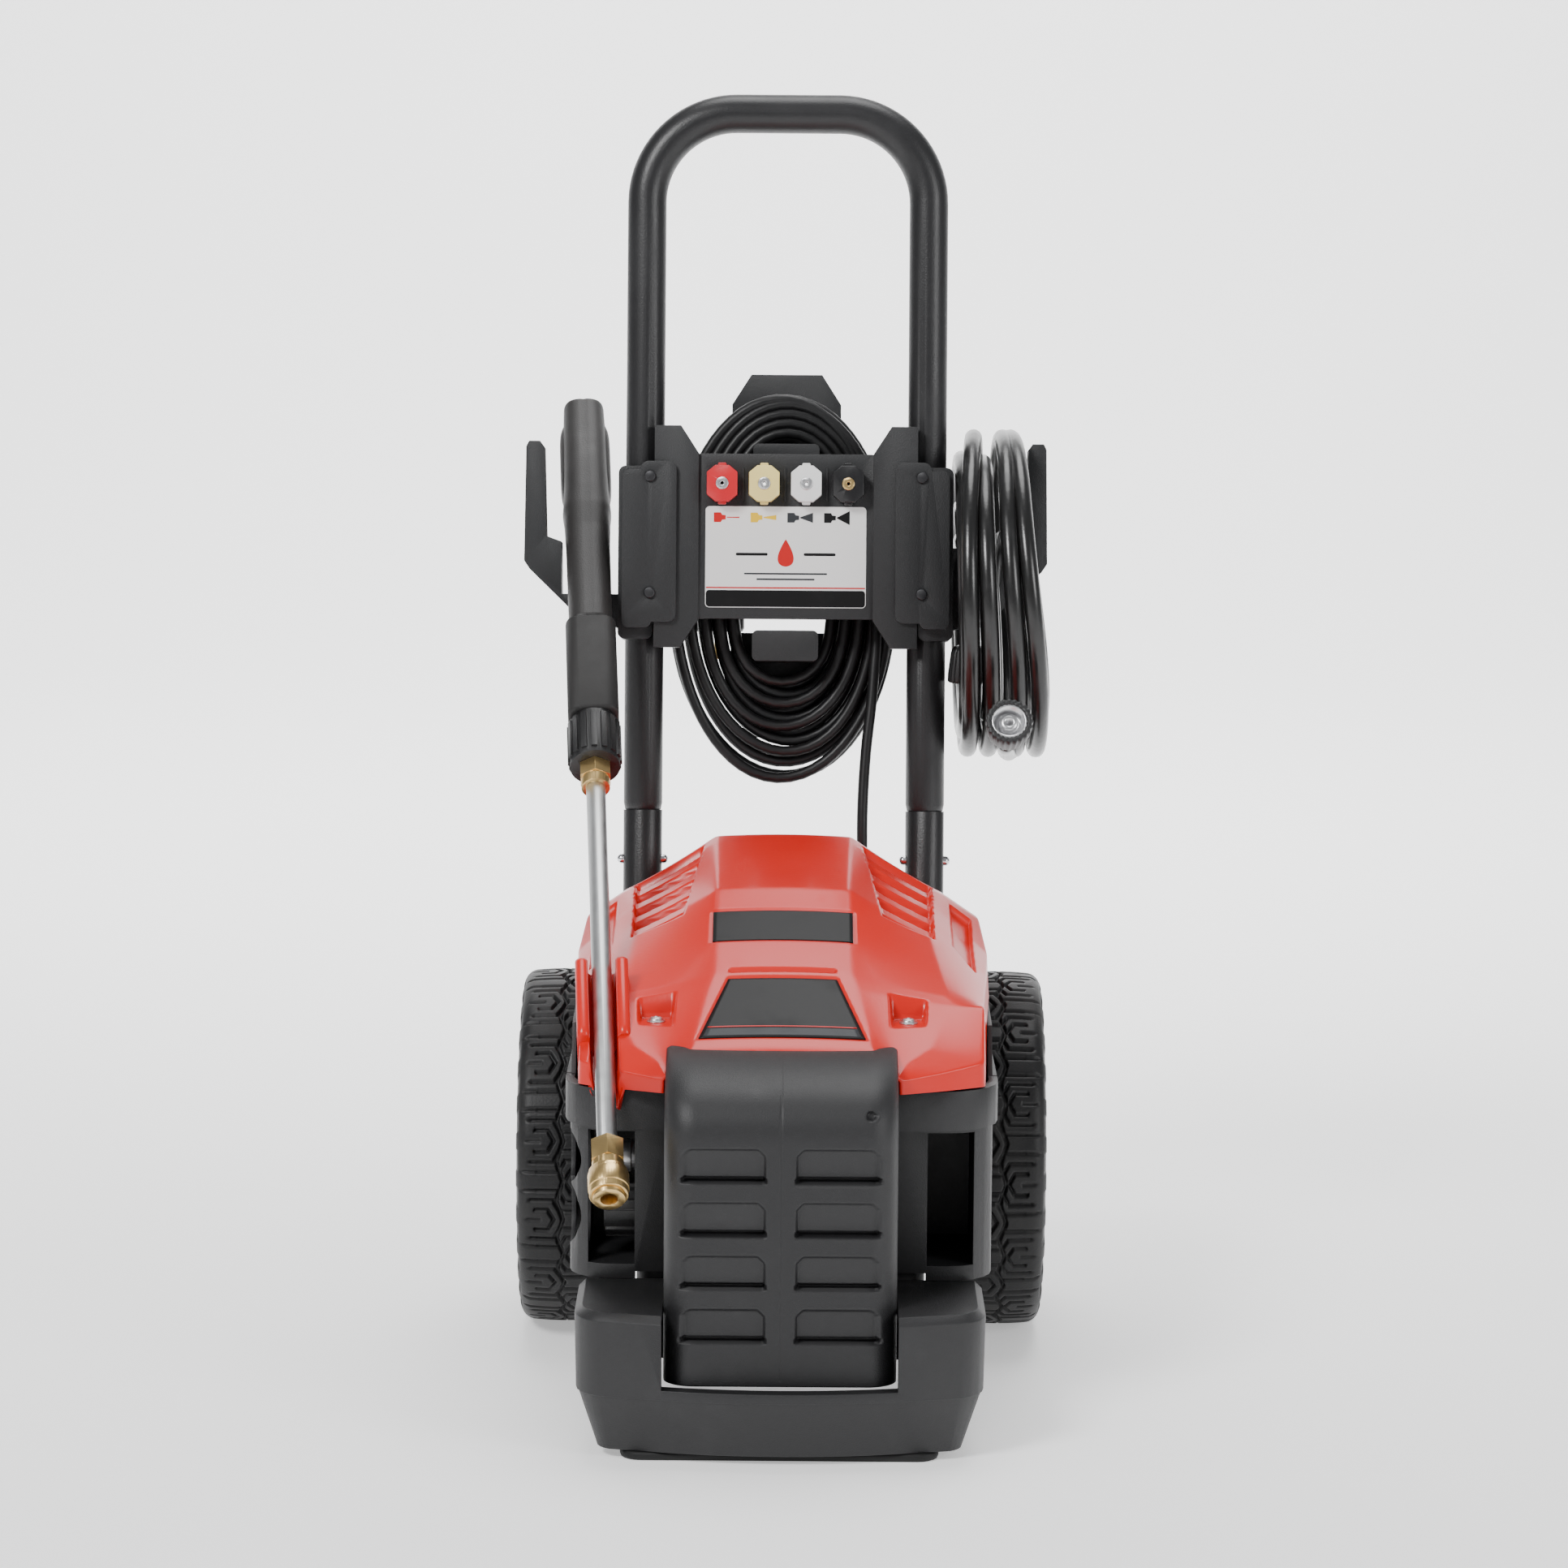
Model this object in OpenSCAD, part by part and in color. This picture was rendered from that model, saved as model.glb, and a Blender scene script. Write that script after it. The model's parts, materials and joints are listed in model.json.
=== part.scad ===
/* [Wheels] */
// Diameter over the tread
wheel_d = 254; // [230:2:270]
// Width of a tyre
tyre_w = 62; // [50:1:64]
// Distance from the middle of the machine to a wheel's outer face
wheel_face = 186; // [184:1:200]
// Diameter of the rim where the tyre sits
rim_d = 166; // [150:2:180]
// Diameter of the wheel axle
axle_d = 12.7; // [10:0.1:16]
// Distance of the axle behind the origin
axle_y = 72; // [60:1:90]
// Radial clearance of everything that turns on a shaft
running_gap = 0.08; // [0.05:0.01:0.1]

/* [Handle] */
// Outside diameter of the handle and frame tubes
tube_d = 28; // [26:0.5:30]
// Wall of the tubes
tube_wall = 1.6; // [1.2:0.1:2.2]
// Distance between the two legs, centre to centre, at the joint
leg_span = 204.6; // [200:0.2:210]
// Height of the handle's highest point
handle_top = 880; // [820:5:960]
// Bend radius of the grip's corners
grip_r = 65; // [50:1:75]
// Backward lean of the handle in degrees
lean = 8; // [5:0.5:10]
// Length of frame tube from the floor line to its open end
frame_end = 368.6; // [350:1:380]
// Length of handle leg that sits inside a frame tube
neck_len = 60; // [55:1:80]
// Diameter of a snap button
button_d = 7; // [6:0.5:8]
// How far a snap button stands out of the tube
button_out = 4.5; // [3.5:0.1:5]

/* [Body] */
// Half width of the body shell
body_half = 141; // [136:1:146]
// Half width of the shoulder band
shoulder_half = 144; // [141:1:150]
// Height of the hood's highest point
hood_top = 360; // [350:1:370]
// Wall of the moulded shells
shell_wall = 3; // [2:0.5:4]
// Half width of the louvred front cowl
cowl_half = 76; // [70:1:80]
// Half width of the bumper
bumper_half = 134; // [130:1:140]
// Clearance round the wheels
wheel_gap = 10; // [8:1:12]

/* [Drive] */
// Diameter of the motor housing
motor_d = 144; // [130:2:150]
// Height of the motor's shaft
shaft_z = 185; // [180:1:190]
// Diameter of the motor's shaft
shaft_d = 15; // [12:0.5:18]
// Diameter of a pump piston
piston_d = 14; // [12:0.5:16]
// Outside diameter of the high pressure threads
thread_d = 22; // [20:0.5:22]

/* [Accessories] */
// Half width of the accessory panel
panel_half = 95; // [93:0.5:96]
// Distance between neighbouring nozzles
nozzle_step = 30.3; // [29:0.1:31]
// Diameter of a nozzle's stem
nozzle_stem_d = 11.2; // [10:0.2:12]
// Distance from the middle to the outer face of a storage hook
hook_reach = 190; // [188:1:196]

/* [Gun and lance] */
// Length of the gun's two piece housing
gun_len = 245; // [235:1:255]
// Thickness of the gun's housing
gun_w = 33; // [30:1:34]
// Diameter of the lance tube
lance_d = 13.5; // [12:0.5:14]
// Length from the gun's tail to the tip of the coupler
gun_total = 765; // [750:1:770]
// Outside diameter of the quick coupler
coupler_d = 27; // [26:0.5:28]

/* [Cords] */
// Diameter of the mains cord
cord_d = 7.8; // [7:0.1:8.2]
// Diameter of the high pressure hose
hose_d = 12.6; // [12:0.1:13]

/* [Hidden] */
$fn = 48;

// ---- places worked out from the sizes above; y values marked _a count from the axle
leg_x = leg_span / 2;
axle_z = wheel_d / 2;
handle_foot_a = -5;
grip_t = (handle_top - tube_d / 2) / cos(lean);
neck_d = tube_d - 2 * tube_wall - 0.2;
neck_bore = neck_d - 2 * tube_wall;
joint_t = frame_end + 0.2;
shoulder_len = 5;
button_t = 333;
button_hole_d = button_d + 0.4;
boss_d = axle_d + 20;
frame_foot_t = 150;
socket_low_t = 130;
socket_d = tube_d + 8;
socket_top_t = 262;
wheel_in = wheel_face - tyre_w;
well_x = 100;
well_r = wheel_d / 2 + wheel_gap;
tub_half = 96;
shell_front_a = -300;
shell_rear_a = 16;
shell_low = 100;
shoulder_front_a = -314;
shoulder_low = 204;
shoulder_high = 231;
hood_seam = [[-340, shoulder_high], [-258, shoulder_high], [-240, 262], [-100, 271], [20, 271]];
bay_in = 97;
bay_out = 128;
bay_low = 110;
bay_high = 200;
bay_deep_a = -205;
cowl_front_a = -392;
cowl_low = 51;
cowl_high = 248;
lip_z = 51;
foot_h = 6;
cover_front_a = shell_rear_a + 1;
cover_half = 80;
cover_rear_a = 62;
cover_low = 52;
cover_high = 300;
switch_z = 266;
switch_pin_d = 1.8;
bracket_low_t = 492;
bracket_high_t = 617;
panel_face_w = -24;
panel_back_w = -15;
hook_front_w = 0;
hook_back_w = 24;
nozzle_t = 604;
nozzle_x0 = -46.1;
screw_x = 98;
screw_ts = [525, 609];
gun_tail = [-152.6, 205, 652];
gun_pitch = 38.7;
gun_yaw = 3.13;
wrap_ts = [488, 623];
wrap_half = 11;
motor_rear_a = -20;
motor_front_a = -190;
fan_a = 19;
pump_rear_a = motor_front_a - 8;
pump_front_a = -254;
head_front_a = -304;
inlet_at = [0, -268, shaft_z - 45];
outlet_at = [0, -272, shaft_z - 7];
coil_w0 = 13;
coil_w1 = 44;
coil_t = 527;
coil_up = 149;
coil_side = 87;
hose_x0 = 122;
hose_x1 = 173;
hose_wide_x = 187;
hose_a = 92;
hose_z = 520;
hose_out_r = 120;

// Route of the mains cord from its gland to the coil, from the axle's plane
lead_route = [[57, 42, 306], [57, 42, 324], [57, 43, 342], [58, 46, 364], [61, 52, 390],
    [65, 59, 416], [68, 65, 442], [70, 70, 468], [70, 73, 494], [69, 78, 518], [66, 88, 538]];
// Route of the mains cord from the coil to its plug, in the handle's leaning frame
tail_route = [[-56, 40, 616], [-57.5, 42.5, 604], [-55.5, 48, 592], [-52.5, 55, 581],
    [-50.5, 59.8, 572.5], [-50, 61.4, 567.5]];
plug_x = -50;
plug_w = 61.6;
plug_t = 500;
plug_len = 54;
// Route of the hose from the bottom of its coil to the nut at the front
hose_side_r = hose_out_r + hose_d / 2 + 0.3;
hose_route = concat(
    [for (a = [44, 30, 16]) [157, a, hose_z - sqrt(pow(hose_side_r, 2) - pow(a - hose_a, 2))]],
    [[158, 3, 421], [158, -8, 420], [158, -18, 421.7], [158, -28.4, 427.1]]);
nut_a_at = [158, -64, 446];
nut_a_tilt = 62;
nut_b_at = [135, 55, 459];
hose_turn_r = 4 * hose_d;
// Route of the hose's other end from the nut inside the coil
hose_tail = concat([nut_b_at + [0, 0, 40.4]], [for (q = [0, 15, 28, 39])
    nut_b_at + [0, hose_turn_r * (1 - cos(q)), 61 + hose_turn_r * sin(q)]]);

// ---- general shapes
function arc(c, r, a0, a1, n = 5) =
    [for (i = [0 : n]) [c[0] + r * cos(a0 + (a1 - a0) * i / n), c[1] + r * sin(a0 + (a1 - a0) * i / n)]];
function round_rect(x0, x1, y0, y1, r) = concat(
    arc([x1 - r, y1 - r], r, 0, 90), arc([x0 + r, y1 - r], r, 90, 180),
    arc([x0 + r, y0 + r], r, 180, 270), arc([x1 - r, y0 + r], r, 270, 360));
function oval(c, rx, ry, n = 36) =
    [for (i = [0 : n - 1]) [c[0] + rx * cos(360 * i / n), c[1] + ry * sin(360 * i / n)]];
function unit(v) = v / norm(v);
function way(path, i) = unit(path[min(i + 1, len(path) - 1)] - path[max(i - 1, 0)]);

module at_axle() { translate([0, axle_y, 0]) children(); }
module on_handle() { translate([0, axle_y + handle_foot_a, 0]) rotate([-lean, 0, 0]) children(); }
module on_gun() {
    translate([gun_tail[0], axle_y + gun_tail[1], gun_tail[2]])
        rotate([gun_pitch, 0, 0]) rotate([0, 0, gun_yaw - 90]) children();
}
module slab(x0, x1, y0, y1, z0, z1, r) {
    translate([0, 0, z0]) linear_extrude(z1 - z0) polygon(round_rect(x0, x1, y0, y1, r));
}
// A prism along X from an outline in the YZ plane
module side_prism(x0, x1, outline) {
    translate([x0, 0, 0]) rotate([90, 0, 90]) linear_extrude(x1 - x0) polygon(outline);
}
// A prism along Y from an outline in the XZ plane
module front_prism(y0, y1, outline) {
    translate([0, y1, 0]) rotate([90, 0, 0]) linear_extrude(y1 - y0) polygon(outline);
}
module disc_x(x0, x1, d) { translate([x0, 0, 0]) rotate([0, 90, 0]) cylinder(d = d, h = x1 - x0); }
module disc_y(y0, y1, d) { translate([0, y1, 0]) rotate([90, 0, 0]) cylinder(d = d, h = y1 - y0); }
// A tube of eight sides swept along a route
module swept(path, d, sides = 8, across = [1, 0.01, 0]) {
    n = len(path);
    rings = [for (i = [0 : n - 1]) let (f = way(path, i),
        u = unit(cross(f, across)), v = cross(f, u))
        for (k = [0 : sides - 1]) path[i] + d / 2 * (u * cos(360 * k / sides) + v * sin(360 * k / sides))];
    walls = [for (i = [0 : n - 2], k = [0 : sides - 1]) let (m = (k + 1) % sides)
        [i * sides + k, (i + 1) * sides + k, (i + 1) * sides + m, i * sides + m]];
    polyhedron(rings, concat(walls, [[for (k = [0 : sides - 1]) k]],
        [[for (k = [sides - 1 : -1 : 0]) (n - 1) * sides + k]]));
}

// ---- handle and frame
// The bent rod of the grip in the handle's own plane, from from_t up
module grip_rod(d, from_t) {
    corner_t = grip_t - grip_r;
    for (s = [-1, 1]) {
        translate([s * leg_x, 0, from_t]) cylinder(d = d, h = corner_t - from_t);
        mirror([s > 0 ? 0 : 1, 0, 0]) translate([leg_x - grip_r, 0, corner_t]) rotate([90, 0, 0])
            rotate_extrude(angle = 90) translate([grip_r, 0]) circle(d = d);
    }
    translate([0, 0, grip_t]) disc_x(grip_r - leg_x, leg_x - grip_r, d);
}
module button_holes() {
    for (s = [-1, 1]) translate([s * leg_x, 0, button_t]) disc_x(-tube_d, tube_d, button_hole_d);
}
module handle_tube() {
    color("#1d1d1f") on_handle() difference() {
        union() {
            grip_rod(tube_d, joint_t + shoulder_len);
            for (s = [-1, 1]) translate([s * leg_x, 0, joint_t]) {
                cylinder(d1 = neck_d + 1.4, d2 = tube_d, h = shoulder_len);
                translate([0, 0, -neck_len]) cylinder(d = neck_d, h = neck_len);
            }
        }
        grip_rod(neck_bore, joint_t);
        for (s = [-1, 1]) translate([s * leg_x, 0, joint_t - neck_len - 1]) {
            cylinder(d = neck_bore, h = neck_len + 2);
        }
        button_holes();
        for (s = [-1, 1], t = screw_ts) translate([s * screw_x, 0, t]) disc_y(-tube_d, 0, 4.2);
    }
}
module frame_tube(s) {
    color("#1d1d1f") on_handle() difference() {
        translate([s * leg_x, 0, frame_foot_t]) cylinder(d = tube_d, h = frame_end - frame_foot_t);
        translate([s * leg_x, 0, frame_foot_t - 1]) {
            cylinder(d = tube_d - 2 * tube_wall, h = frame_end - frame_foot_t + 2);
        }
        button_holes();
    }
}
module frame_tube_left() { frame_tube(-1); }
module frame_tube_right() { frame_tube(1); }

// A domed steel button on its leaf of spring strip, pointing to side way_x of its tube
module snap_button(s, way_x) {
    out = tube_d / 2 + button_out;
    head_x = 8.4;
    color("#c9cacc") on_handle() translate([s * leg_x, 0, button_t]) rotate([0, way_x > 0 ? 0 : 180, 0]) {
        rotate([0, 90, 0]) rotate_extrude() polygon(concat(
            [[0, head_x], [button_d / 2 + 1, head_x], [button_d / 2 + 1, head_x + 1.2],
            [button_d / 2, head_x + 1.2]],
            arc([0, out - button_d / 2], button_d / 2, 0, 90)));
        translate([head_x, -3, way_x > 0 ? -22 : 0]) cube([0.9, 6, 22]);
    }
}
module snap_button_left_outer() { snap_button(-1, -1); }
module snap_button_left_inner() { snap_button(-1, 1); }
module snap_button_right_inner() { snap_button(1, -1); }
module snap_button_right_outer() { snap_button(1, 1); }

// ---- chassis and wheels
module leg_sockets(d, t0, t1) {
    on_handle() for (s = [-1, 1]) translate([s * leg_x, 0, t0]) cylinder(d = d, h = t1 - t0);
}
module chassis() {
    floor_z = 44;
    color("#222224") difference() {
        union() {
            at_axle() slab(-tub_half, tub_half, -292, 56, floor_z, floor_z + 4, 12);
            at_axle() difference() {
                slab(-tub_half, tub_half, -292, 56, floor_z, 104, 12);
                slab(-tub_half + 3, tub_half - 3, -289, 53, floor_z - 1, 105, 9);
            }
            at_axle() translate([0, 0, axle_z]) disc_x(-wheel_in + 4, wheel_in - 4, boss_d);
            at_axle() for (s = [-1, 1]) translate([s * 70 - 5, -boss_d / 2, floor_z]) {
                cube([10, boss_d, axle_z - floor_z]);
            }
            leg_sockets(socket_d, socket_low_t, socket_top_t);
            at_axle() for (a = [motor_front_a + 6, motor_rear_a - 28]) translate([-60, a, floor_z]) {
                cube([120, 16, shaft_z - motor_d / 2 - floor_z + 12]);
            }
        }
        leg_sockets(tube_d + 2 * running_gap, frame_foot_t, socket_top_t + 1);
        at_axle() translate([0, 0, axle_z]) disc_x(-wheel_face, wheel_face, axle_d + 2 * running_gap);
        at_axle() translate([0, 0, shaft_z]) disc_y(-220, motor_rear_a + 2, motor_d + 0.4);
    }
}
module axle() {
    color("#a9abae") at_axle() translate([0, 0, axle_z]) disc_x(-wheel_face + 4, wheel_face - 4, axle_d);
}
// Washers on the inside of each wheel and a push nut on each end of the axle
module axle_fasteners() {
    color("#c4c6c9") at_axle() translate([0, 0, axle_z]) for (s = [-1, 1]) {
        for (span = [[wheel_in - 3.5, wheel_in - 1.5, 26], [wheel_face - 9, wheel_face - 5.5, 22]]) {
            difference() {
                disc_x(min(s * span[0], s * span[1]), max(s * span[0], s * span[1]), span[2]);
                disc_x(-wheel_face, wheel_face, axle_d + 2 * running_gap);
            }
        }
    }
}
module rim(s) {
    mid = wheel_face - tyre_w / 2;
    half = tyre_w / 2;
    hub_in = -half + 0.5;
    hub_out = half - 10;
    bore_r = axle_d / 2 + running_gap;
    color("#2b2b2d") at_axle() translate([s * mid, 0, axle_z]) rotate([0, s * 90, 0]) {
        rotate_extrude() polygon([[bore_r, hub_in], [21, hub_in], [21, -6], [60, -6],
            [rim_d / 2 - 6, -half + 6], [rim_d / 2, -half + 6], [rim_d / 2, half - 6],
            [rim_d / 2 - 6, half - 6], [rim_d / 2 - 9, 2], [60, 0], [21, 0], [21, hub_out],
            [bore_r, hub_out]]);
        for (k = [0 : 5]) rotate([0, 0, 60 * k]) translate([18, -4, -0.5]) cube([52, 8, 12]);
    }
}
module rim_left() { rim(-1); }
module rim_right() { rim(1); }
module tyre(s) {
    half = tyre_w / 2;
    r = wheel_d / 2;
    color("#1b1b1c") at_axle() translate([s * (wheel_face - half), 0, axle_z]) rotate([0, s * 90, 0])
        rotate_extrude($fn = 96) polygon(concat([[rim_d / 2, -half + 6], [rim_d / 2 + 4, -half]],
            arc([r - 15.5, -half + 14], 14, -90, -12), [[r, -6], [r, 6]],
            arc([r - 15.5, half - 14], 14, 12, 90),
            [[rim_d / 2 + 4, half], [rim_d / 2, half - 6]]));
}
module tyre_left() { tyre(-1); }
module tyre_right() { tyre(1); }

// ---- shells
// Half outline of the bumper in plan, drawn in by i
function bumper_front(i) = concat(
    [[bumper_half - i, -296]], arc([bumper_half - 30, -368], 30 - i, 0, -62, 4),
    [for (k = [1 : 7]) let (x = 105 - 30 * k / 2) [x, -413 + i + x * x / 700]]);
function mirrored(half) = concat(half, [for (k = [len(half) - 1 : -1 : 0]) [-half[k][0], half[k][1]]]);
module bumper_plate(z, i) { translate([0, 0, z]) linear_extrude(0.5) polygon(mirrored(bumper_front(i))); }
module bumper() {
    color("#262628") at_axle() difference() {
        union() {
            hull() { bumper_plate(foot_h, 15); bumper_plate(lip_z - 6, 2); }
            hull() { bumper_plate(lip_z - 6.5, 1); bumper_plate(94, 0); bumper_plate(99, 5); }
        }
        hull() { bumper_plate(foot_h + 4, 19); bumper_plate(94, 5); }
        translate([-cowl_half - 0.5, -420, lip_z]) cube([2 * cowl_half + 1, 130, 60]);
    }
}
module rubber_foot() {
    color("#111112") at_axle() slab(-104, 104, -388, -312, 0, foot_h, 14);
}
module front_cowl() {
    hump = concat([[cowl_front_a, cowl_low]], [[cowl_front_a + 4, cowl_high - 42]],
        arc([-358, cowl_high - 31], 30, 170, 105, 4), [[-322, cowl_high + 9], [-296, cowl_high + 12],
        [-296, cowl_low]]);
    color("#262628") at_axle() difference() {
        intersection() {
            side_prism(-cowl_half, cowl_half, hump);
            slab(-cowl_half, cowl_half, cowl_front_a, -250, cowl_low, 300, 20);
        }
        intersection() {
            translate([0, shell_wall, -shell_wall]) side_prism(-cowl_half, cowl_half, hump);
            slab(-cowl_half + shell_wall, cowl_half - shell_wall, cowl_front_a + shell_wall,
                -200, cowl_low + shell_wall, 300, 17);
        }
        for (k = [0 : 3], s = [-1, 1]) translate([s * 37 - 28, cowl_front_a - 1, 81 + 35 * k]) {
            cube([56, 12, 4]);
        }
    }
}
// Outline of the body with its wheel arches and bays, drawn in by g
module body_form(g) {
    open = g > 0 ? 2 : 0;
    difference() {
        union() {
            slab(-body_half + g, body_half - g, shell_front_a + g, shell_rear_a - g + open * 3,
                shell_low - open, 300, 30 - g);
            slab(-shoulder_half + g, shoulder_half - g, shoulder_front_a + g, -80,
                shoulder_low + g, shoulder_high - g, 40 - g);
        }
        for (s = [-1, 1]) {
            translate([0, 0, axle_z]) disc_x(s > 0 ? well_x - g : -200, s > 0 ? 200 : g - well_x,
                2 * (well_r + g));
            translate([s > 0 ? bay_in - g : -bay_out - g, -320, bay_low - g]) {
                cube([bay_out - bay_in + 2 * g, bay_deep_a + 320 + g, bay_high - bay_low + 2 * g]);
            }
            translate([s > 0 ? well_x - g : -200, -80, 0]) cube([200 - well_x + g, 120, axle_z]);
        }
    }
}
module above_seam(lift) {
    side_prism(-160, 160, concat([for (p = hood_seam) p + [0, lift]], [[30, 400], [-350, 400]]));
}
module body_shell() {
    color("#29292b") difference() {
        at_axle() difference() {
            body_form(0);
            body_form(shell_wall);
            above_seam(-0.4);
            translate([-cowl_half - 0.5, -330, 0]) cube([2 * cowl_half + 1, 60, 400]);
            translate(inlet_at) disc_x(-160, -80, 44);
            translate(outlet_at) disc_x(-160, -80, 36);
            translate([0, 0, axle_z]) disc_x(-wheel_in, wheel_in, boss_d + 1);
            translate([-tub_half - 0.5, -300, 0]) cube([2 * tub_half + 1, 400, 105]);
        }
        leg_sockets(socket_d + 1, 0, socket_top_t + 60);
        lance_channel(lance_d + 4, 9.5);
    }
}
// Corner points of the hood, right half, drawn in by g
function hood_corners(g) = [
    [48, -45, hood_top - 1], [46, -160, 340], [46, -250, 297], [60, -318, 259], [76, -330, 246],
    [131, -262, 281], [134, -302, 248], [134, -306, 232], [76, -332, 232],
    [112, -60, 322], [137, -64, 304], [143, -100, 284], [143, -100, 272], [135, -250, 262],
    [48, shell_rear_a, 345], [112, shell_rear_a, 312], [137, shell_rear_a, 294],
    [140, shell_rear_a, 272]];
module hood_solid(g, low) {
    hull() for (p = hood_corners(g), s = [-1, 1]) {
        translate([s * (p[0] - g), p[1] < -200 ? p[1] + g : p[1] > 0 ? p[1] - g : p[1], p[2] - g]) {
            cube(0.01, center = true);
        }
    }
}
module lance_channel(width, depth) {
    on_gun() translate([520, -width / 2, -depth]) cube([160, width, 160]);
}
module hood() {
    color("#d8402f") difference() {
        union() {
            at_axle() difference() {
                intersection() {
                    hood_solid(0);
                    above_seam(0);
                }
                intersection() {
                    hood_solid(shell_wall);
                    translate([0, 0, -1]) above_seam(0);
                }
                translate([-cowl_half - 0.5, -340, 0]) cube([2 * cowl_half + 1, 60, cowl_high + 13]);
            }
            // The two fins of the lance rest and the trough between them
            intersection() {
                on_gun() difference() {
                    translate([565, -18, -30]) cube([70, 36, 42]);
                    translate([560, -lance_d / 2 - 2, -10]) cube([80, lance_d + 4, 60]);
                }
                at_axle() above_seam(0);
            }
        }
        lance_channel(lance_d + 4, 10);
        for (s = [-1, 1]) at_axle() translate([s * 84, -276, 200]) cylinder(d = 5, h = 100);
    }
}
module hood_screws() {
    color("#8d8f92") at_axle() for (s = [-1, 1]) translate([s * 84, -276, 0]) {
        translate([0, 0, 284]) cylinder(d = 9, h = 3);
        translate([0, 0, 236]) cylinder(d = 4.6, h = 48);
    }
}
module labels() {
    strip_slope = atan2(43, 90);
    badge_slope = atan2(38, 68);
    color("#141414") at_axle() {
        translate([0, -250, 297.2]) rotate([strip_slope, 0, 0]) slab(-48, 48, 38, 72, 0, 0.8, 2);
        translate([0, -250, 297.2]) rotate([badge_slope, 0, 0]) linear_extrude(0.8)
            polygon([[-56, -66], [56, -66], [36, -6], [-36, -6]]);
    }
    color("#e9e9e9") on_handle() {
        front_prism(panel_face_w - 0.6, panel_face_w, round_rect(-58, 58, 515, 588, 3));
    }
}
module rear_cover() {
    color("#29292b") at_axle() difference() {
        slab(-cover_half, cover_half, -20, cover_rear_a, cover_low, cover_high, 16);
        slab(-cover_half + 3, cover_half - 3, -40, cover_rear_a - 3, cover_low + 3, cover_high - 3, 13);
        translate([-100, -60, 0]) cube([200, 60 + cover_front_a, 400]);
        translate([-100, -60, 0]) cube([200, 60 + 57, 105]);
        for (k = [0 : 6]) translate([-50, cover_rear_a - 6, 126 + 15 * k]) cube([100, 12, 6]);
        translate([-18, cover_rear_a - 6, switch_z - 14]) cube([36, 12, 28]);
        translate([0, cover_rear_a - 1.5, switch_z]) disc_x(-21, 21, switch_pin_d + 2 * running_gap);
        translate([57, 42, cover_high - 6]) cylinder(d = 16.2, h = 12);
    }
}
module power_switch() {
    color("#b3261e") at_axle() translate([0, cover_rear_a - 1.5, switch_z]) {
        disc_x(-20, 20, switch_pin_d);
        rotate([90, 0, 90]) translate([0, 0, -17.4]) linear_extrude(34.8)
            polygon([[-8, -6], [2, -12.6], [5.5, -12.6], [3, 0], [2, 12.6], [-2, 12.6], [-8, 6]]);
    }
}

// ---- motor and pump
module motor_housing() {
    color("#3d3e40") at_axle() translate([0, 0, shaft_z]) difference() {
        union() {
            disc_y(motor_front_a, motor_rear_a, motor_d - 12);
            for (k = [0 : 11]) rotate([0, 30 * k, 0]) translate([-2, motor_front_a + 6, 0]) {
                cube([4, motor_rear_a - motor_front_a - 10, motor_d / 2]);
            }
        }
        disc_y(motor_front_a + 8, motor_rear_a - 8, 104);
        disc_y(-220, 20, shaft_d + 2 * running_gap);
    }
}
module rotor_shaft() {
    color("#b7b9bc") at_axle() translate([0, 0, shaft_z]) {
        disc_y(pump_rear_a - 22, fan_a + 20, shaft_d);
        disc_y(motor_front_a + 24, motor_rear_a - 26, 96);
    }
}
module cooling_fan() {
    color("#303234") at_axle() translate([0, 0, shaft_z]) difference() {
        union() {
            disc_y(fan_a, fan_a + 16, 34);
            for (k = [0 : 7]) rotate([0, 45 * k, 0]) translate([0, fan_a + 8, 15]) rotate([0, 0, 35]) {
                translate([-1, -8, 0]) cube([2, 16, 42]);
            }
        }
        disc_y(0, fan_a + 30, shaft_d);
    }
}
module capacitor() {
    color("#e4e4e2") at_axle() translate([62, -142, 69]) rotate([-90, 0, 0]) cylinder(d = 40, h = 80);
}
// The three places of the pistons round the pump's shaft
module piston_places() {
    for (k = [0 : 2]) rotate([0, 120 * k, 0]) translate([0, 0, 26]) children();
}
module pump_body() {
    color("#8f9194") at_axle() translate([0, 0, shaft_z]) difference() {
        union() {
            disc_y(pump_rear_a, motor_front_a - 0.2, 120);
            disc_y(pump_front_a, pump_rear_a + 2, 96);
        }
        disc_y(pump_front_a + 4, pump_rear_a - 2, 84);
        disc_y(pump_rear_a - 10, motor_front_a + 6, shaft_d + 2);
        piston_places() disc_y(pump_front_a - 10, pump_front_a + 10, piston_d + 2 * running_gap);
    }
}
module wobble_plate() {
    color("#c9cbce") at_axle() translate([0, pump_rear_a - 21, shaft_z]) difference() {
        union() {
            disc_y(-8, 8, 30);
            rotate([9, 0, 0]) disc_y(-9, -3, 72);
        }
        disc_y(-1.05, 20, shaft_d);
    }
}
module pump_head() {
    color("#b08d45") at_axle() translate([0, 0, shaft_z]) difference() {
        union() {
            disc_y(head_front_a, pump_front_a - 0.2, 92);
            translate([-46, head_front_a + 12, -64]) cube([24, 36, 64]);
        }
        piston_places() disc_y(pump_front_a - 35, pump_front_a + 10, piston_d + 2 * running_gap);
        translate(inlet_at - [0, 0, shaft_z]) disc_x(-60, -30, 16);
        translate(outlet_at - [0, 0, shaft_z]) disc_x(-60, -30, 12);
    }
}
module pistons() {
    color("#d5d7d9") at_axle() translate([0, 0, shaft_z]) piston_places() {
        disc_y(pump_front_a - 22, pump_front_a + 14, piston_d);
    }
}
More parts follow.
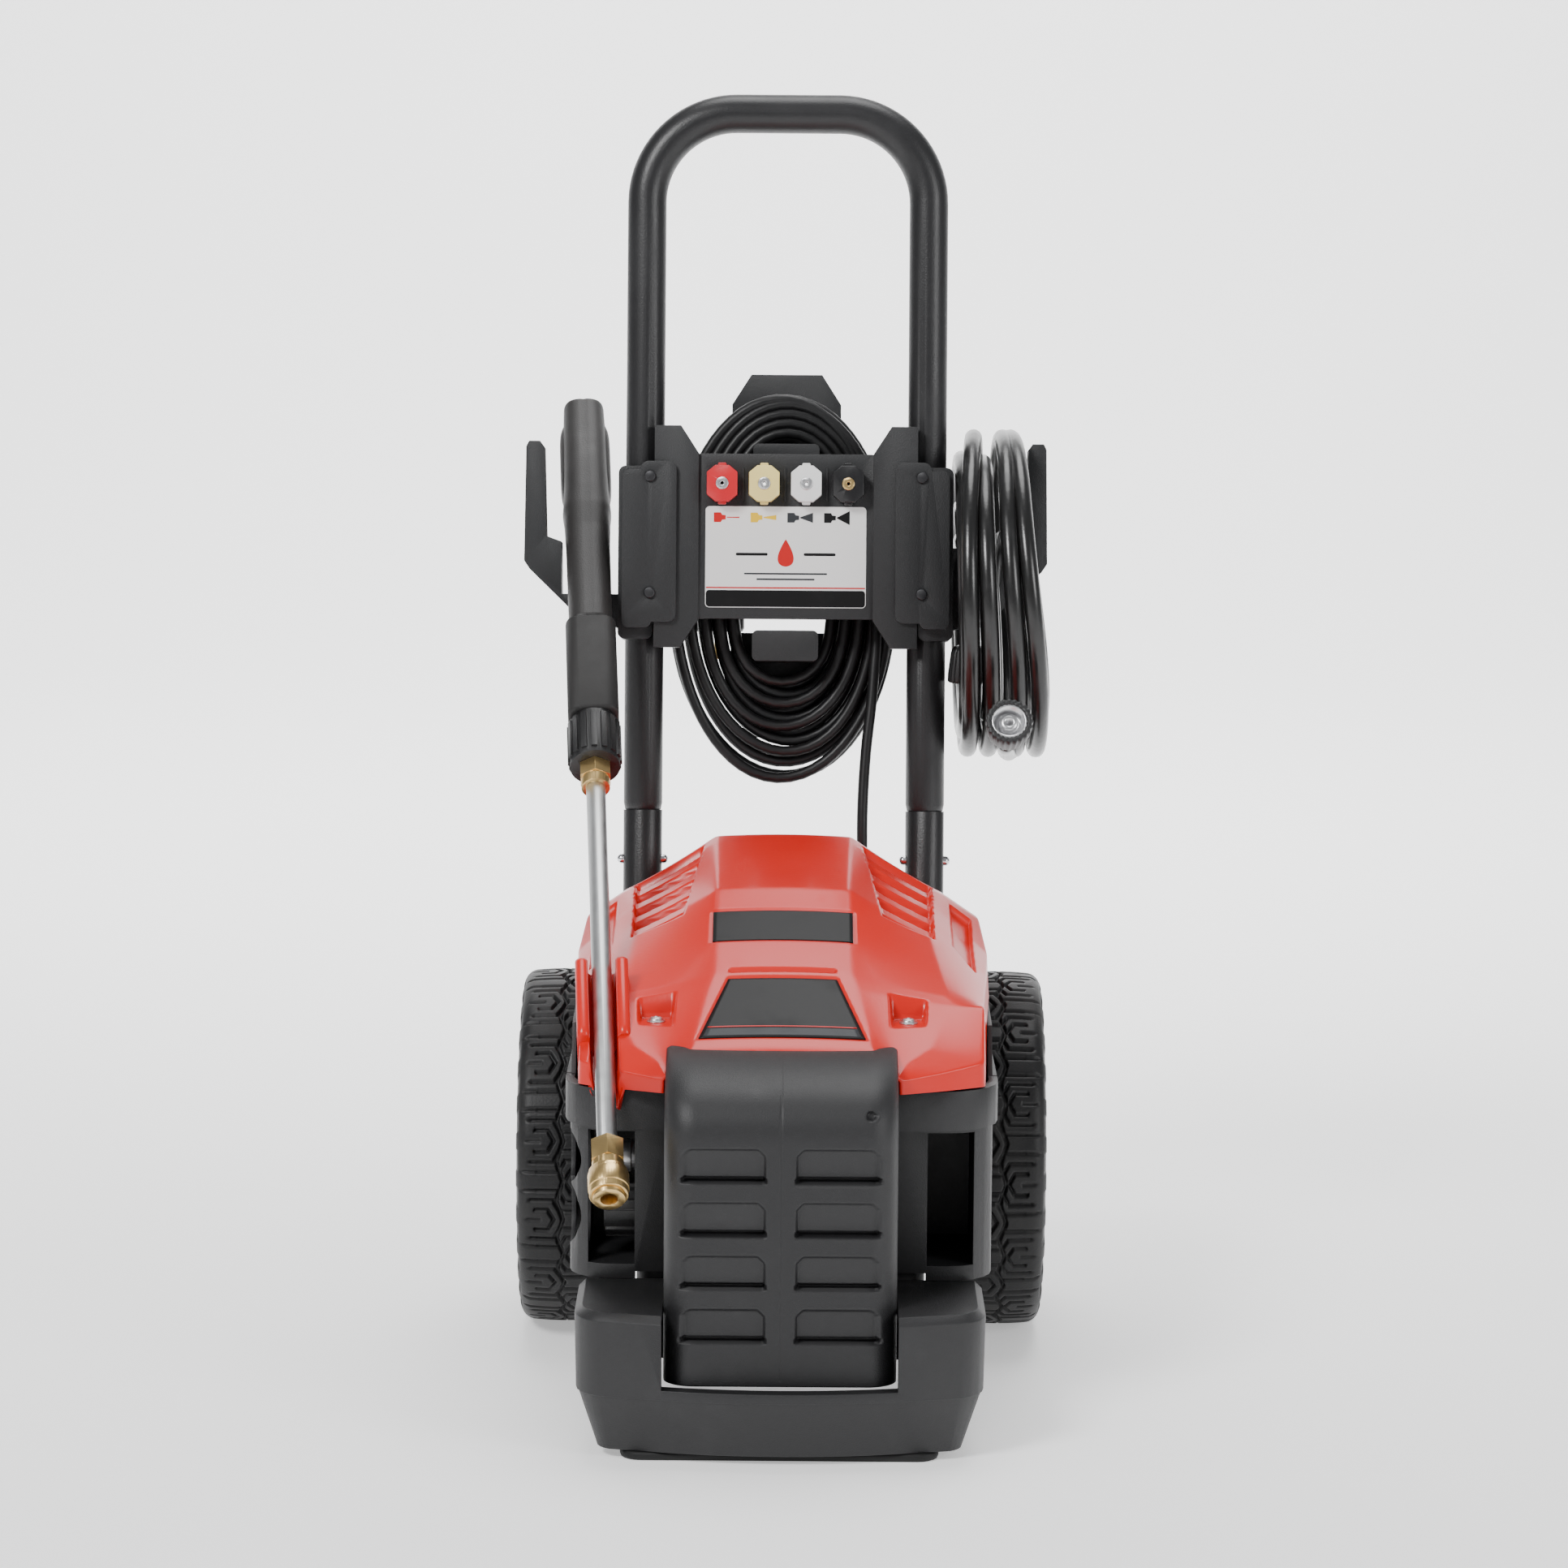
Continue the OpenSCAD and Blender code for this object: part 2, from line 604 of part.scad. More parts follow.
// Swivel nut that takes the garden hose
module inlet_nut() {
    color("#2f2f31") at_axle() translate(inlet_at) difference() {
        union() {
            disc_x(-118, -94, 32);
            for (k = [0 : 7]) rotate([45 * k, 0, 0]) translate([-117, -3, 14]) cube([22, 6, 4]);
        }
        disc_x(-120, -106, 25.4);
        disc_x(-107, -98, 20.6);
        disc_x(-100, -80, 16 + 2 * running_gap);
    }
}
module outlet_fitting() {
    color("#b08d45") at_axle() {
        translate(outlet_at) {
            disc_x(-54, -34, 12);
            rotate([0, -90, 0]) translate([0, 0, 46]) cylinder(d = 28, h = 14, $fn = 6);
            difference() {
                union() {
                    disc_x(-116, -100, thread_d);
                    disc_x(-101, -59, thread_d - 2);
                }
                disc_x(-120, -70, 14);
            }
        }
        translate(inlet_at) difference() {
            union() {
                disc_x(-99, -36, 16);
                disc_x(-105, -98.5, 20);
            }
            disc_x(-110, -34, 9);
        }
    }
}

// ---- accessory panel on the handle
module handle_panel() {
    color("#2b2b2d") on_handle() difference() {
        union() {
            front_prism(panel_face_w - 3, panel_back_w, concat(
                [[panel_half, 646], [76, 646], [63, 626], [63, 506], [76, 486], [panel_half, 486]]));
            front_prism(panel_face_w - 3, panel_back_w, concat(
                [[-panel_half, 646], [-76, 646], [-63, 626], [-63, 506], [-76, 486], [-panel_half, 486]]));
            front_prism(panel_face_w, panel_back_w, round_rect(-64, 64, 507, 626, 2));
        }
        for (k = [0 : 3]) translate([nozzle_x0 + nozzle_step * k, 0, nozzle_t]) {
            disc_y(-40, 0, nozzle_stem_d + 0.6);
        }
    }
}
// The clamp block that grips the tube, with the arm and finger of the hook
module hook(s, pocket) {
    arm = [[119, 500], [119, pocket], [162.5, pocket], [163, 563], [174, 567], [176, 632],
        [179, 636], [187, 636], [hook_reach - 1, 632], [hook_reach, 549], [186, 543], [150, 508]];
    color("#2b2b2d") on_handle() mirror([s > 0 ? 0 : 1, 0, 0]) difference() {
        union() {
            front_prism(hook_front_w, hook_back_w, arm);
            front_prism(-21, hook_back_w, round_rect(96, 121, bracket_low_t, bracket_high_t, 5));
            front_prism(panel_face_w - 7, panel_face_w - 3.2, round_rect(79, 105, 504, 620, 6));
            front_prism(panel_face_w - 7, -20, round_rect(96.5, 118, 500, 614, 5));
        }
        translate([leg_x, 0, 400]) cylinder(d = tube_d + 0.2, h = 300);
        for (t = screw_ts) translate([screw_x, 0, t]) disc_y(-40, 0, 4.6);
    }
}
module hook_left() { hook(-1, 525); }
module hook_right() { hook(1, 560); }
module bracket_screws() {
    head_w = panel_face_w - 7;
    color("#3a3a3c") on_handle() for (s = [-1, 1], t = screw_ts) translate([s * screw_x, 0, t]) {
        disc_y(head_w - 2.4, head_w, 8);
        disc_y(head_w, -6, 4);
    }
}
// The two arms behind the panel that the mains cord is wound on
module cord_wraps() {
    color("#2b2b2d") on_handle() for (k = [0, 1]) {
        up = k == 1 ? 1 : -1;
        tip_t = wrap_ts[k] + up * 66;
        front_prism(panel_back_w, coil_w1 + 2,
            round_rect(-24, 24, wrap_ts[k] - wrap_half, wrap_ts[k] + wrap_half, 4));
        front_prism(coil_w1 + 2, coil_w1 + 7, [[-40, tip_t - up * 22], [-26, tip_t], [26, tip_t],
            [40, tip_t - up * 22], [40, wrap_ts[k] - up * wrap_half], [-40, wrap_ts[k] - up * wrap_half]]);
    }
}
// A quick connect nozzle: moulded cap, then the steel body with its stem
module nozzle(k, cap, metal) {
    on_handle() translate([nozzle_x0 + nozzle_step * k, 0, nozzle_t]) {
        color(cap) difference() {
            union() {
                front_prism(panel_face_w - 13, panel_face_w - 0.4,
                    [[-11, -8], [-5, -13], [5, -13], [11, -8], [11, 8], [5, 13], [-5, 13], [-11, 8]]);
                front_prism(panel_face_w - 9, panel_face_w - 2, round_rect(-3, 3, -15, 15, 1));
            }
            disc_y(-60, 0, 9);
        }
        color(metal) difference() {
            union() {
                disc_y(panel_face_w - 14, panel_face_w - 0.4, 9);
                disc_y(panel_face_w - 0.4, -2, nozzle_stem_d);
            }
            disc_y(-60, 0, 2.4);
            disc_y(-20, 0, 6);
        }
    }
}
module nozzle_red() { nozzle(0, "#c7202a", "#c9cacc"); }
module nozzle_yellow() { nozzle(1, "#f0e09a", "#c9cacc"); }
module nozzle_white() { nozzle(2, "#f0f0ee", "#c9cacc"); }
module nozzle_black() { nozzle(3, "#1c1c1e", "#b89443"); }

// ---- gun and lance, drawn from the tail along +X with the spine on +Z
gun_bottom = -16;
gun_side = concat(arc([16, 0], 16, 180, 100, 4), [[60, 18], [110, 19], [150, 16.5], [gun_len, 15.5],
    [gun_len, -15], [150, gun_bottom], [134, gun_bottom], [113, -40], [84, -94], [70, -106],
    [22, -106], [14, -98], [10, -40]], arc([16, 0], 16, 230, 200, 2));
finger_gap = [[50, -22], [114, -22], [105, -38], [76, -90], [54, -90]];
trigger_pivot = [104, 0, -12];
lock_pivot = [50, 0, -80];
module gun_half(s) {
    color("#474343") on_gun() difference() {
        intersection() {
            front_prism(s > 0 ? 0 : -gun_w / 2, s > 0 ? gun_w / 2 : 0, gun_side);
            union() {
                slab(-5, gun_len + 1, -gun_w / 2, gun_w / 2, -120, 30, 6);
            }
        }
        front_prism(-40, 40, finger_gap);
        front_prism(-7, 7, [[60, -1], [116, -1], [116, -24], [60, -24]]);
        front_prism(-4.4, 4.4, [[44, -90], [58, -90], [58, -70], [44, -70]]);
        front_prism(-12, 12, [[20, 8], [gun_len + 5, 8], [gun_len + 5, -9], [118, -9], [118, 0], [20, 0]]);
        front_prism(-8, 8, [[20, 2], [40, 2], [44, -110], [26, -110]]);
        translate(trigger_pivot) disc_y(-10, 10, 4 + 2 * running_gap);
        translate(lock_pivot) disc_y(-8, 8, 2.4 + 2 * running_gap);
    }
}
module gun_shell_left() { gun_half(-1); }
module gun_shell_right() { gun_half(1); }
module trigger() {
    color("#1f1f20") on_gun() difference() {
        union() {
            front_prism(-6.5, 6.5, [[98, -6], [110, -6], [110, -16], [100, -34], [86, -52], [76, -68],
                [70, -70], [69, -64], [76, -48], [84, -30], [94, -18]]);
            translate(trigger_pivot) disc_y(-9.5, 9.5, 4);
        }
        translate([92, 0, -16]) disc_y(-10, 10, 2);
    }
}
module trigger_lock() {
    color("#b3261e") on_gun() translate(lock_pivot) {
        front_prism(-4, 4, [[-4, 4], [3, 4], [13, -1], [14, -4], [11, -6], [-4, -4]]);
        disc_y(-7.5, 7.5, 2.4);
    }
}
// Valve block inside the housing, the pipe down the grip and the hose thread at its end
module gun_valve() {
    color("#b08d45") on_gun() difference() {
        union() {
            translate([0, 0, -0.5]) disc_x(122, gun_len + 8, 16.6);
            translate([0, 0, 4]) disc_x(24, 124, 7.4);
            translate([35, 0, -108]) cylinder(d = 7.4, h = 114);
            translate([40, 0, -126]) cylinder(d = 15, h = 19.5);
            translate([40, 0, -137]) cylinder(d = thread_d, h = 14);
        }
        translate([40, 0, -138]) cylinder(d = 13, h = 12);
        translate([0, 0, -0.5]) disc_x(150, gun_len + 20, 9);
    }
}
module gun_grip() {
    color("#474343") on_gun() difference() {
        rotate([90, 0, 90]) translate([0, 0, gun_len + 0.3]) linear_extrude(93)
            polygon(round_rect(-18, 18, -18, 17.5, 9));
        translate([0, 0, -0.5]) disc_x(200, 400, 16.6 + 2 * running_gap);
    }
}
module gun_collar() {
    color("#1a1a1b") on_gun() translate([0, 0, -0.5]) difference() {
        union() {
            disc_x(338.6, 380, 35);
            for (k = [0 : 15]) rotate([22.5 * k, 0, 0]) translate([342, -2, 16]) cube([34, 4, 3]);
        }
        disc_x(300, 400, lance_d + 2 * running_gap + 4);
    }
}
module lance_adapter() {
    color("#b8914a") on_gun() translate([0, 0, -0.5]) difference() {
        union() {
            disc_x(374, 392, 17);
            translate([380.2, 0, 0]) rotate([0, 90, 0]) cylinder(d = 24, h = 12, $fn = 6);
            disc_x(392, 400, 20);
        }
        disc_x(300, 500, lance_d);
    }
}
module lance_tube() {
    color("#a5a8aa") on_gun() translate([0, 0, -0.5]) difference() {
        disc_x(376, gun_total - 34, lance_d);
        disc_x(360, gun_total, lance_d - 4);
    }
}
module coupler_body() {
    color("#b8914a") on_gun() translate([0, 0, -0.5]) difference() {
        union() {
            translate([gun_total - 46, 0, 0]) rotate([0, 90, 0]) cylinder(d = 24, h = 16, $fn = 6);
            disc_x(gun_total - 30, gun_total, 21);
        }
        disc_x(gun_total - 60, gun_total - 34, lance_d);
        disc_x(gun_total - 35, gun_total + 1, nozzle_stem_d + 0.2);
    }
}
module coupler_sleeve() {
    color("#b8914a") on_gun() translate([0, 0, -0.5]) difference() {
        union() {
            disc_x(gun_total - 23, gun_total - 3, coupler_d - 1.5);
            disc_x(gun_total - 20, gun_total - 8, coupler_d);
        }
        disc_x(gun_total - 40, gun_total + 1, 21 + 2 * running_gap);
    }
}

// ---- hose and mains cord
// The turns of the hose between two planes, hanging from the arm of the hook
module hose_ring(x0, x1, top) {
    translate([x0, 0, 0]) rotate([90, 0, 90]) linear_extrude(x1 - x0) intersection() {
        difference() {
            polygon(oval([hose_a, hose_z], hose_out_r, hose_out_r, 48));
            polygon(oval([hose_a, hose_z - 18], 75, 64, 36));
        }
        translate([hose_a - 200, top - 400]) square(400);
    }
}
module hose_coil() {
    color("#0f0f10") at_axle() {
        hose_ring(hose_x0, hose_x1, 700);
        hose_ring(hose_x1 - 1, hose_wide_x, 498);
        swept(hose_route, hose_d, 12);
        swept(hose_tail, hose_d, 12);
    }
}
// A ribbed swivel nut with its steel bore, its mouth at the origin and pointing along +Z
module hose_nut() {
    color("#1a1a1b") difference() {
        union() {
            translate([0, 0, -26]) cylinder(d1 = 26, d2 = 32, h = 26);
            for (k = [0 : 11]) rotate([0, 0, 30 * k]) translate([12, -2, -24]) cube([5, 4, 20]);
        }
        translate([0, 0, -14]) cylinder(d = 24, h = 15);
        translate([0, 0, -30]) cylinder(d = 15, h = 20);
    }
    color("#c9cacc") translate([0, 0, -40]) difference() {
        cylinder(d = 14.6, h = 38);
        translate([0, 0, 10]) cylinder(d = 5, h = 30);
    }
}
module hose_nut_a() { at_axle() translate(nut_a_at) rotate([nut_a_tilt, 0, 0]) hose_nut(); }
module hose_nut_b() { at_axle() translate(nut_b_at) rotate([180, 0, 0]) hose_nut(); }

module cord_gland() {
    color("#1a1a1b") at_axle() translate([57, 42, 0]) difference() {
        union() {
            translate([0, 0, cover_high - 8]) cylinder(d = 16, h = 8);
            translate([0, 0, cover_high]) cylinder(d = 22, h = 5);
            translate([0, 0, cover_high + 5]) cylinder(d1 = 16, d2 = 11, h = 17);
        }
        translate([0, 0, cover_high - 20]) cylinder(d = cord_d, h = 60);
    }
}
module cord_ends() {
    color("#131314") {
        at_axle() swept(lead_route, cord_d);
        on_handle() swept(tail_route, cord_d);
    }
}
module cord_coil() {
    color("#131314") on_handle() translate([0, coil_w1, 0]) rotate([90, 0, 0])
        linear_extrude(coil_w1 - coil_w0) difference() {
            polygon(oval([0, coil_t], coil_side, coil_up));
            polygon(round_rect(-30, 30, wrap_ts[0] - wrap_half - 6, wrap_ts[1] + wrap_half + 1, 12));
        }
}
module plug() {
    color("#1a1a1b") on_handle() translate([plug_x, plug_w, plug_t]) {
        slab(-20, 20, -13, 13, 0, plug_len, 8);
        translate([0, 0, plug_len]) cylinder(d1 = 18, d2 = 11, h = 14);
    }
    color("#c9a552") on_handle() translate([plug_x, plug_w, plug_t - 18]) {
        for (s = [-1, 1]) translate([s * 6.35 - 0.75, -3, 0]) cube([1.5, 6, 18]);
        translate([0, 8, -2]) cylinder(d = 4.8, h = 20);
    }
}

handle_tube();
frame_tube_left();
frame_tube_right();
snap_button_left_outer();
snap_button_left_inner();
snap_button_right_inner();
snap_button_right_outer();
chassis();
axle();
axle_fasteners();
rim_left();
rim_right();
tyre_left();
tyre_right();
bumper();
rubber_foot();
front_cowl();
body_shell();
hood();
hood_screws();
labels();
rear_cover();
power_switch();
motor_housing();
rotor_shaft();
cooling_fan();
capacitor();
pump_body();
wobble_plate();
pump_head();
pistons();
inlet_nut();
outlet_fitting();
handle_panel();
hook_left();
hook_right();
bracket_screws();
cord_wraps();
nozzle_red();
nozzle_yellow();
nozzle_white();
nozzle_black();
gun_shell_left();
gun_shell_right();
trigger();
trigger_lock();
gun_valve();
gun_grip();
gun_collar();
lance_adapter();
lance_tube();
coupler_body();
coupler_sleeve();
hose_coil();
hose_nut_a();
hose_nut_b();
cord_gland();
cord_ends();
cord_coil();
plug();
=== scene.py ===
import json
import math

import bmesh
import bpy
import numpy as np
from mathutils import Matrix, Vector

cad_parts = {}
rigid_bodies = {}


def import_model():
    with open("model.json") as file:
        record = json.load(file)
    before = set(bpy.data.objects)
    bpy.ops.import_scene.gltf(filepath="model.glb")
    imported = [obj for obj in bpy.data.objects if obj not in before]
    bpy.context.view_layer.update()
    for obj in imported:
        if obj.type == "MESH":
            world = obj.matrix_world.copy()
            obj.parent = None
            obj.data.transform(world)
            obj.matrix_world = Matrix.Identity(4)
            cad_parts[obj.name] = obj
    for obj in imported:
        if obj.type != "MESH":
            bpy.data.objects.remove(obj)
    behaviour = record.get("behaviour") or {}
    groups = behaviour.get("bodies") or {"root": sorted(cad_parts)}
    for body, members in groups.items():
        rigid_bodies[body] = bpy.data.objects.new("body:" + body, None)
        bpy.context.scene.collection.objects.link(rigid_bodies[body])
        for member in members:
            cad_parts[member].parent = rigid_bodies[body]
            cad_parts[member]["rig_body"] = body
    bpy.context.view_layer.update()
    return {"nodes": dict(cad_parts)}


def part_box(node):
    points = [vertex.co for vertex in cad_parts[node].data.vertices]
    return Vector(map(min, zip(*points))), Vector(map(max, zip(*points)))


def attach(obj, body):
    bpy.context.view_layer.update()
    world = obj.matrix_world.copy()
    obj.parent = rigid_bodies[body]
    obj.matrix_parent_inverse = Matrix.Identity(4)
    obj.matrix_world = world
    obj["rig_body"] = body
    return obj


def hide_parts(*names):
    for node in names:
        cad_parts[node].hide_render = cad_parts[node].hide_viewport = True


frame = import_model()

# ---- Camera, floor and light
# A camera at the height of the grip looks slightly down at the louvred front.
# The machine stands on a plain pale floor that sweeps up behind it, under large soft lamps.
axle_y = (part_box("axle")[0].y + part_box("axle")[1].y) / 2
axle_z = (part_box("axle")[0].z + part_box("axle")[1].z) / 2

camera = bpy.data.objects.new("camera", bpy.data.cameras.new("camera"))
bpy.context.scene.collection.objects.link(camera)
camera.data.lens = 114.25
camera.matrix_world = (Matrix.Translation((0, axle_y - 3.531, 0.8825))
                       @ Matrix.Rotation(math.radians(90 - 7.925), 4, "X")
                       @ Matrix.Rotation(math.radians(0.42), 4, "Z"))
bpy.context.scene.camera = camera


def surface(name, points, wrap_u=False, wrap_v=False, caps=False, smooth=True):
    """A mesh through a grid of points, where points[i, j] is the place at row i and column j.
    Rows and columns may wrap round, and caps closes the first and last rows."""
    rows, cols = points.shape[:2]
    i, j = np.meshgrid(np.arange(rows if wrap_u else rows - 1),
                       np.arange(cols if wrap_v else cols - 1), indexing="ij")
    i, j = i.ravel(), j.ravel()
    i2, j2 = (i + 1) % rows, (j + 1) % cols
    faces = np.stack([i * cols + j, i * cols + j2, i2 * cols + j2, i2 * cols + j], axis=1).tolist()
    if caps:
        faces += [list(range(cols))[::-1], [(rows - 1) * cols + k for k in range(cols)]]
    mesh = bpy.data.meshes.new(name)
    mesh.from_pydata(points.reshape(-1, 3).tolist(), [], faces)
    mesh.polygons.foreach_set("use_smooth", np.full(len(mesh.polygons), smooth))
    piece = bpy.data.objects.new(name, mesh)
    bpy.context.scene.collection.objects.link(piece)
    return piece


def outwards(piece, gap=1e-6):
    """Merges doubled points and turns every face outwards."""
    shape = bmesh.new()
    shape.from_mesh(piece.data)
    bmesh.ops.remove_doubles(shape, verts=shape.verts, dist=gap)
    bmesh.ops.recalc_face_normals(shape, faces=shape.faces)
    shape.to_mesh(piece.data)
    shape.free()
    return piece


class Value:
    """A node's output that takes part in Python sums: each sum adds a Math node."""

    def __init__(self, nodes, socket):
        self.nodes, self.socket = nodes, socket

    def _sum(self, operation, a, b):
        return self.nodes.add("ShaderNodeMath", {0: a, 1: b}, operation=operation)

    def __add__(self, other):
        return self._sum("ADD", self, other)

    def __sub__(self, other):
        return self._sum("SUBTRACT", self, other)

    def __rsub__(self, other):
        return self._sum("SUBTRACT", other, self)

    def __mul__(self, other):
        return self._sum("MULTIPLY", self, other)

    __radd__, __rmul__ = __add__, __mul__

    def above(self, low, high):
        """0 below low, 1 above high and smooth between them."""
        return self.nodes.add("ShaderNodeMapRange", {0: self, 1: low, 2: high, 3: 0.0, 4: 1.0},
                              interpolation_type="SMOOTHSTEP")


class Finish:
    """A material in the making, with one method that adds any node."""

    def __init__(self, name, **constants):
        self.material = bpy.data.materials.new(name)
        self.material.use_nodes = True
        self.tree = self.material.node_tree
        self.shader = self.tree.nodes["Principled BSDF"]
        self.place = Value(self, self.tree.nodes.new("ShaderNodeTexCoord").outputs["Object"])
        for key, value in constants.items():
            self.shader.inputs[key.replace("_", " ")].default_value = value

    def add(self, kind, sockets, out=0, **settings):
        made = self.tree.nodes.new(kind)
        for key, value in settings.items():
            setattr(made, key, value)
        for key, value in sockets.items():
            if isinstance(value, Value):
                self.tree.links.new(value.socket, made.inputs[key])
            else:
                made.inputs[key].default_value = value
        return Value(self, made.outputs[out])

    def stretched(self, along):
        return self.add("ShaderNodeVectorMath", {0: self.place, 1: along}, operation="MULTIPLY")

    def noise(self, cells, detail=3.0, along=(1, 1, 1)):
        """Smooth noise from 0 to 1 with so many cells to the metre."""
        return self.add("ShaderNodeTexNoise", {"Vector": self.stretched(along), "Scale": cells,
                                               "Detail": detail, "Roughness": 0.55})

    def grains(self, cells, along=(1, 1, 1)):
        """Distance to the nearest of scattered points, so many to the metre."""
        return self.add("ShaderNodeTexVoronoi", {"Vector": self.stretched(along), "Scale": cells})

    def axis(self, which):
        return self.add("ShaderNodeSeparateXYZ", {0: self.place}, out="XYZ".index(which))

    def blend(self, share, low, high):
        """A colour between low and high."""
        low, high = ((*c, 1) if isinstance(c, tuple) else c for c in (low, high))
        return self.add("ShaderNodeMix", {0: share, 6: low, 7: high}, out=2, data_type="RGBA")

    def feed(self, value, socket):
        self.tree.links.new(value.socket, self.shader.inputs[socket])
        return self

    def raised(self, height, depth):
        """Bumps the surface by depth metres where height is 1."""
        return self.feed(self.add("ShaderNodeBump", {"Height": height, "Distance": depth, "Strength": 1.0}),
                         "Normal")


def shaded(colour, amount):
    return tuple(min(1.0, c * amount) for c in colour)


def backdrop_finish():
    """Matt pale paper with the faintest mottling."""
    f = Finish("backdrop", Specular_IOR_Level=0.2, Emission_Color=(1, 1, 1, 1), Emission_Strength=0.45)
    f.feed(f.blend(f.noise(2.0), (0.90, 0.90, 0.90), (0.92, 0.92, 0.92)), "Base Color")
    f.feed(f.noise(60.0) * 0.1 + 0.7, "Roughness")
    return f.material


run = np.linspace(0, 1, 60)
sweep = np.clip((run - 0.55) / 0.2, 0, 1) * math.pi / 2
backdrop_y = -5 + 9 * np.minimum(run, 0.55) / 0.55 + 1.5 * np.sin(sweep)
backdrop_z = 1.5 * (1 - np.cos(sweep)) + 14 * np.clip(run - 0.75, 0, 1)
backdrop_x = np.linspace(-9, 9, 3)
floor = surface("floor", np.stack([np.repeat(backdrop_x[None, :], 60, 0), np.repeat(backdrop_y[:, None], 3, 1),
                                   np.repeat(backdrop_z[:, None], 3, 1)], axis=2))
floor.data.materials.append(backdrop_finish())


def soft_lamp(name, place, aim, size, watts):
    lamp = bpy.data.objects.new(name, bpy.data.lights.new(name, "AREA"))
    lamp.data.shape, lamp.data.size, lamp.data.energy = "DISK", size, watts
    lamp.location = place
    lamp.rotation_euler = (Vector(aim) - Vector(place)).to_track_quat("-Z", "Y").to_euler()
    bpy.context.scene.collection.objects.link(lamp)


soft_lamp("key_lamp", (-1.9, -2.6, 2.9), (0, 0, 0.4), 1.2, 120)
soft_lamp("fill_lamp", (2.6, -2.2, 1.5), (0, 0, 0.4), 1.4, 42)
soft_lamp("top_lamp", (0.2, 0.6, 3.2), (0, 0, 0.3), 2.0, 60)
soft_lamp("wall_lamp", (0, 2.2, 3.4), (0, 5.5, 0.8), 3.0, 330)
world = bpy.data.worlds.new("studio")
world.use_nodes = True
world.node_tree.nodes["Background"].inputs[0].default_value = (0.86, 0.87, 0.9, 1)
world.node_tree.nodes["Background"].inputs[1].default_value = 0.32
bpy.context.scene.world = world

# ---- Mains cord, gland and plug
# About ten metres of round rubber cord, wound in four layers on the two arms behind the panel.
# It leaves the rear cover through a ribbed strain relief, and its other end has a moulded plug behind the coil.
LEAN = math.radians(8)
HANDLE_FOOT_Y = axle_y - 0.005
CORD_D = 0.0078


def on_handle(x, w, t):
    """Places in the handle's own frame: x across, w square to its plane and t up along it."""
    x, w, t = np.broadcast_arrays(x, w, t)
    return np.stack([x, HANDLE_FOOT_Y + w * math.cos(LEAN) + t * math.sin(LEAN),
                     t * math.cos(LEAN) - w * math.sin(LEAN)], axis=-1)


def smoothstep(x):
    x = np.clip(x, 0, 1)
    return x * x * (3 - 2 * x)


def even_route(points, step):
    """The same route with points a step apart, on a cubic through the given ones."""
    points = np.asarray(points, float)
    ways = np.gradient(points, axis=0)
    k = np.linspace(0, 1, 24, endpoint=False)[None, :, None]
    a, b, da, db = points[:-1, None], points[1:, None], ways[:-1, None], ways[1:, None]
    fine = (a * (1 + 2 * k) * (1 - k) ** 2 + da * k * (1 - k) ** 2 + b * k * k * (3 - 2 * k)
            + db * k * k * (k - 1)).reshape(-1, 3)
    fine = np.vstack([fine, points[-1:]])
    far = np.concatenate([[0], np.cumsum(np.linalg.norm(np.diff(fine, axis=0), axis=1))])
    at = np.linspace(0, far[-1], max(3, int(far[-1] / step)))
    return np.stack([np.interp(at, far, fine[:, c]) for c in range(3)], axis=1)


def tube(name, route, radius, sides, reference):
    """A round tube: each ring lies square to the route, turned by a reference direction it never follows."""
    along = np.gradient(route, axis=0)
    along /= np.linalg.norm(along, axis=1, keepdims=True)
    side = np.cross(along, reference)
    side /= np.linalg.norm(side, axis=1, keepdims=True)
    over = np.cross(along, side)
    turn = np.linspace(0, 2 * math.pi, sides, endpoint=False)[None, :, None]
    radius = np.broadcast_to(radius, len(route))[:, None, None]
    rings = route[:, None] + radius * (side[:, None] * np.cos(turn) + over[:, None] * np.sin(turn))
    return outwards(surface(name, rings, wrap_v=True, caps=True))


def wound_cord():
    """The winding's middle line: each turn lies between a loop tight round the arms and a wide slack one,
    share says how far out it is, and each layer of turns is one cord further back."""
    turns_in_layer, turns = 4.6, 17.37
    u = np.linspace(0, turns, int(turns * 56))
    v = u - 0.35
    layer = np.clip(np.floor(v / turns_in_layer), 0, 3)
    within = v / turns_in_layer - layer
    share = np.where(layer % 2 == 0, 1 - within, within)
    share = np.where(v < 0, 0.65 + 0.35 * smoothstep(u / 0.35), share)
    eased = layer + smoothstep((within * turns_in_layer - turns_in_layer + 0.4) / 0.4) * (layer < 3)
    depth = 0.0172 + 0.0078 * np.where(v < 0, 0, eased)
    angle = 0.12 + 2 * math.pi * u
    c, s = np.cos(angle), np.sin(angle)
    slack = 0.5 + 0.5 * np.sin(7.3 * u) * np.sin(2.1 * u + 1)
    tight_x = 0.0345 * c
    tight_t = 0.553 + 0.0345 * s + 0.052 * np.tanh(s / 0.35) / math.tanh(1 / 0.35)
    wide_x = 0.0825 * c
    wide_t = 0.527 + np.where(s > 0, 0.1445, 0.1445 - 0.012 * slack) * s
    x = tight_x + (wide_x - tight_x) * share
    t = tight_t + (wide_t - tight_t) * share
    return on_handle(x, depth, t)


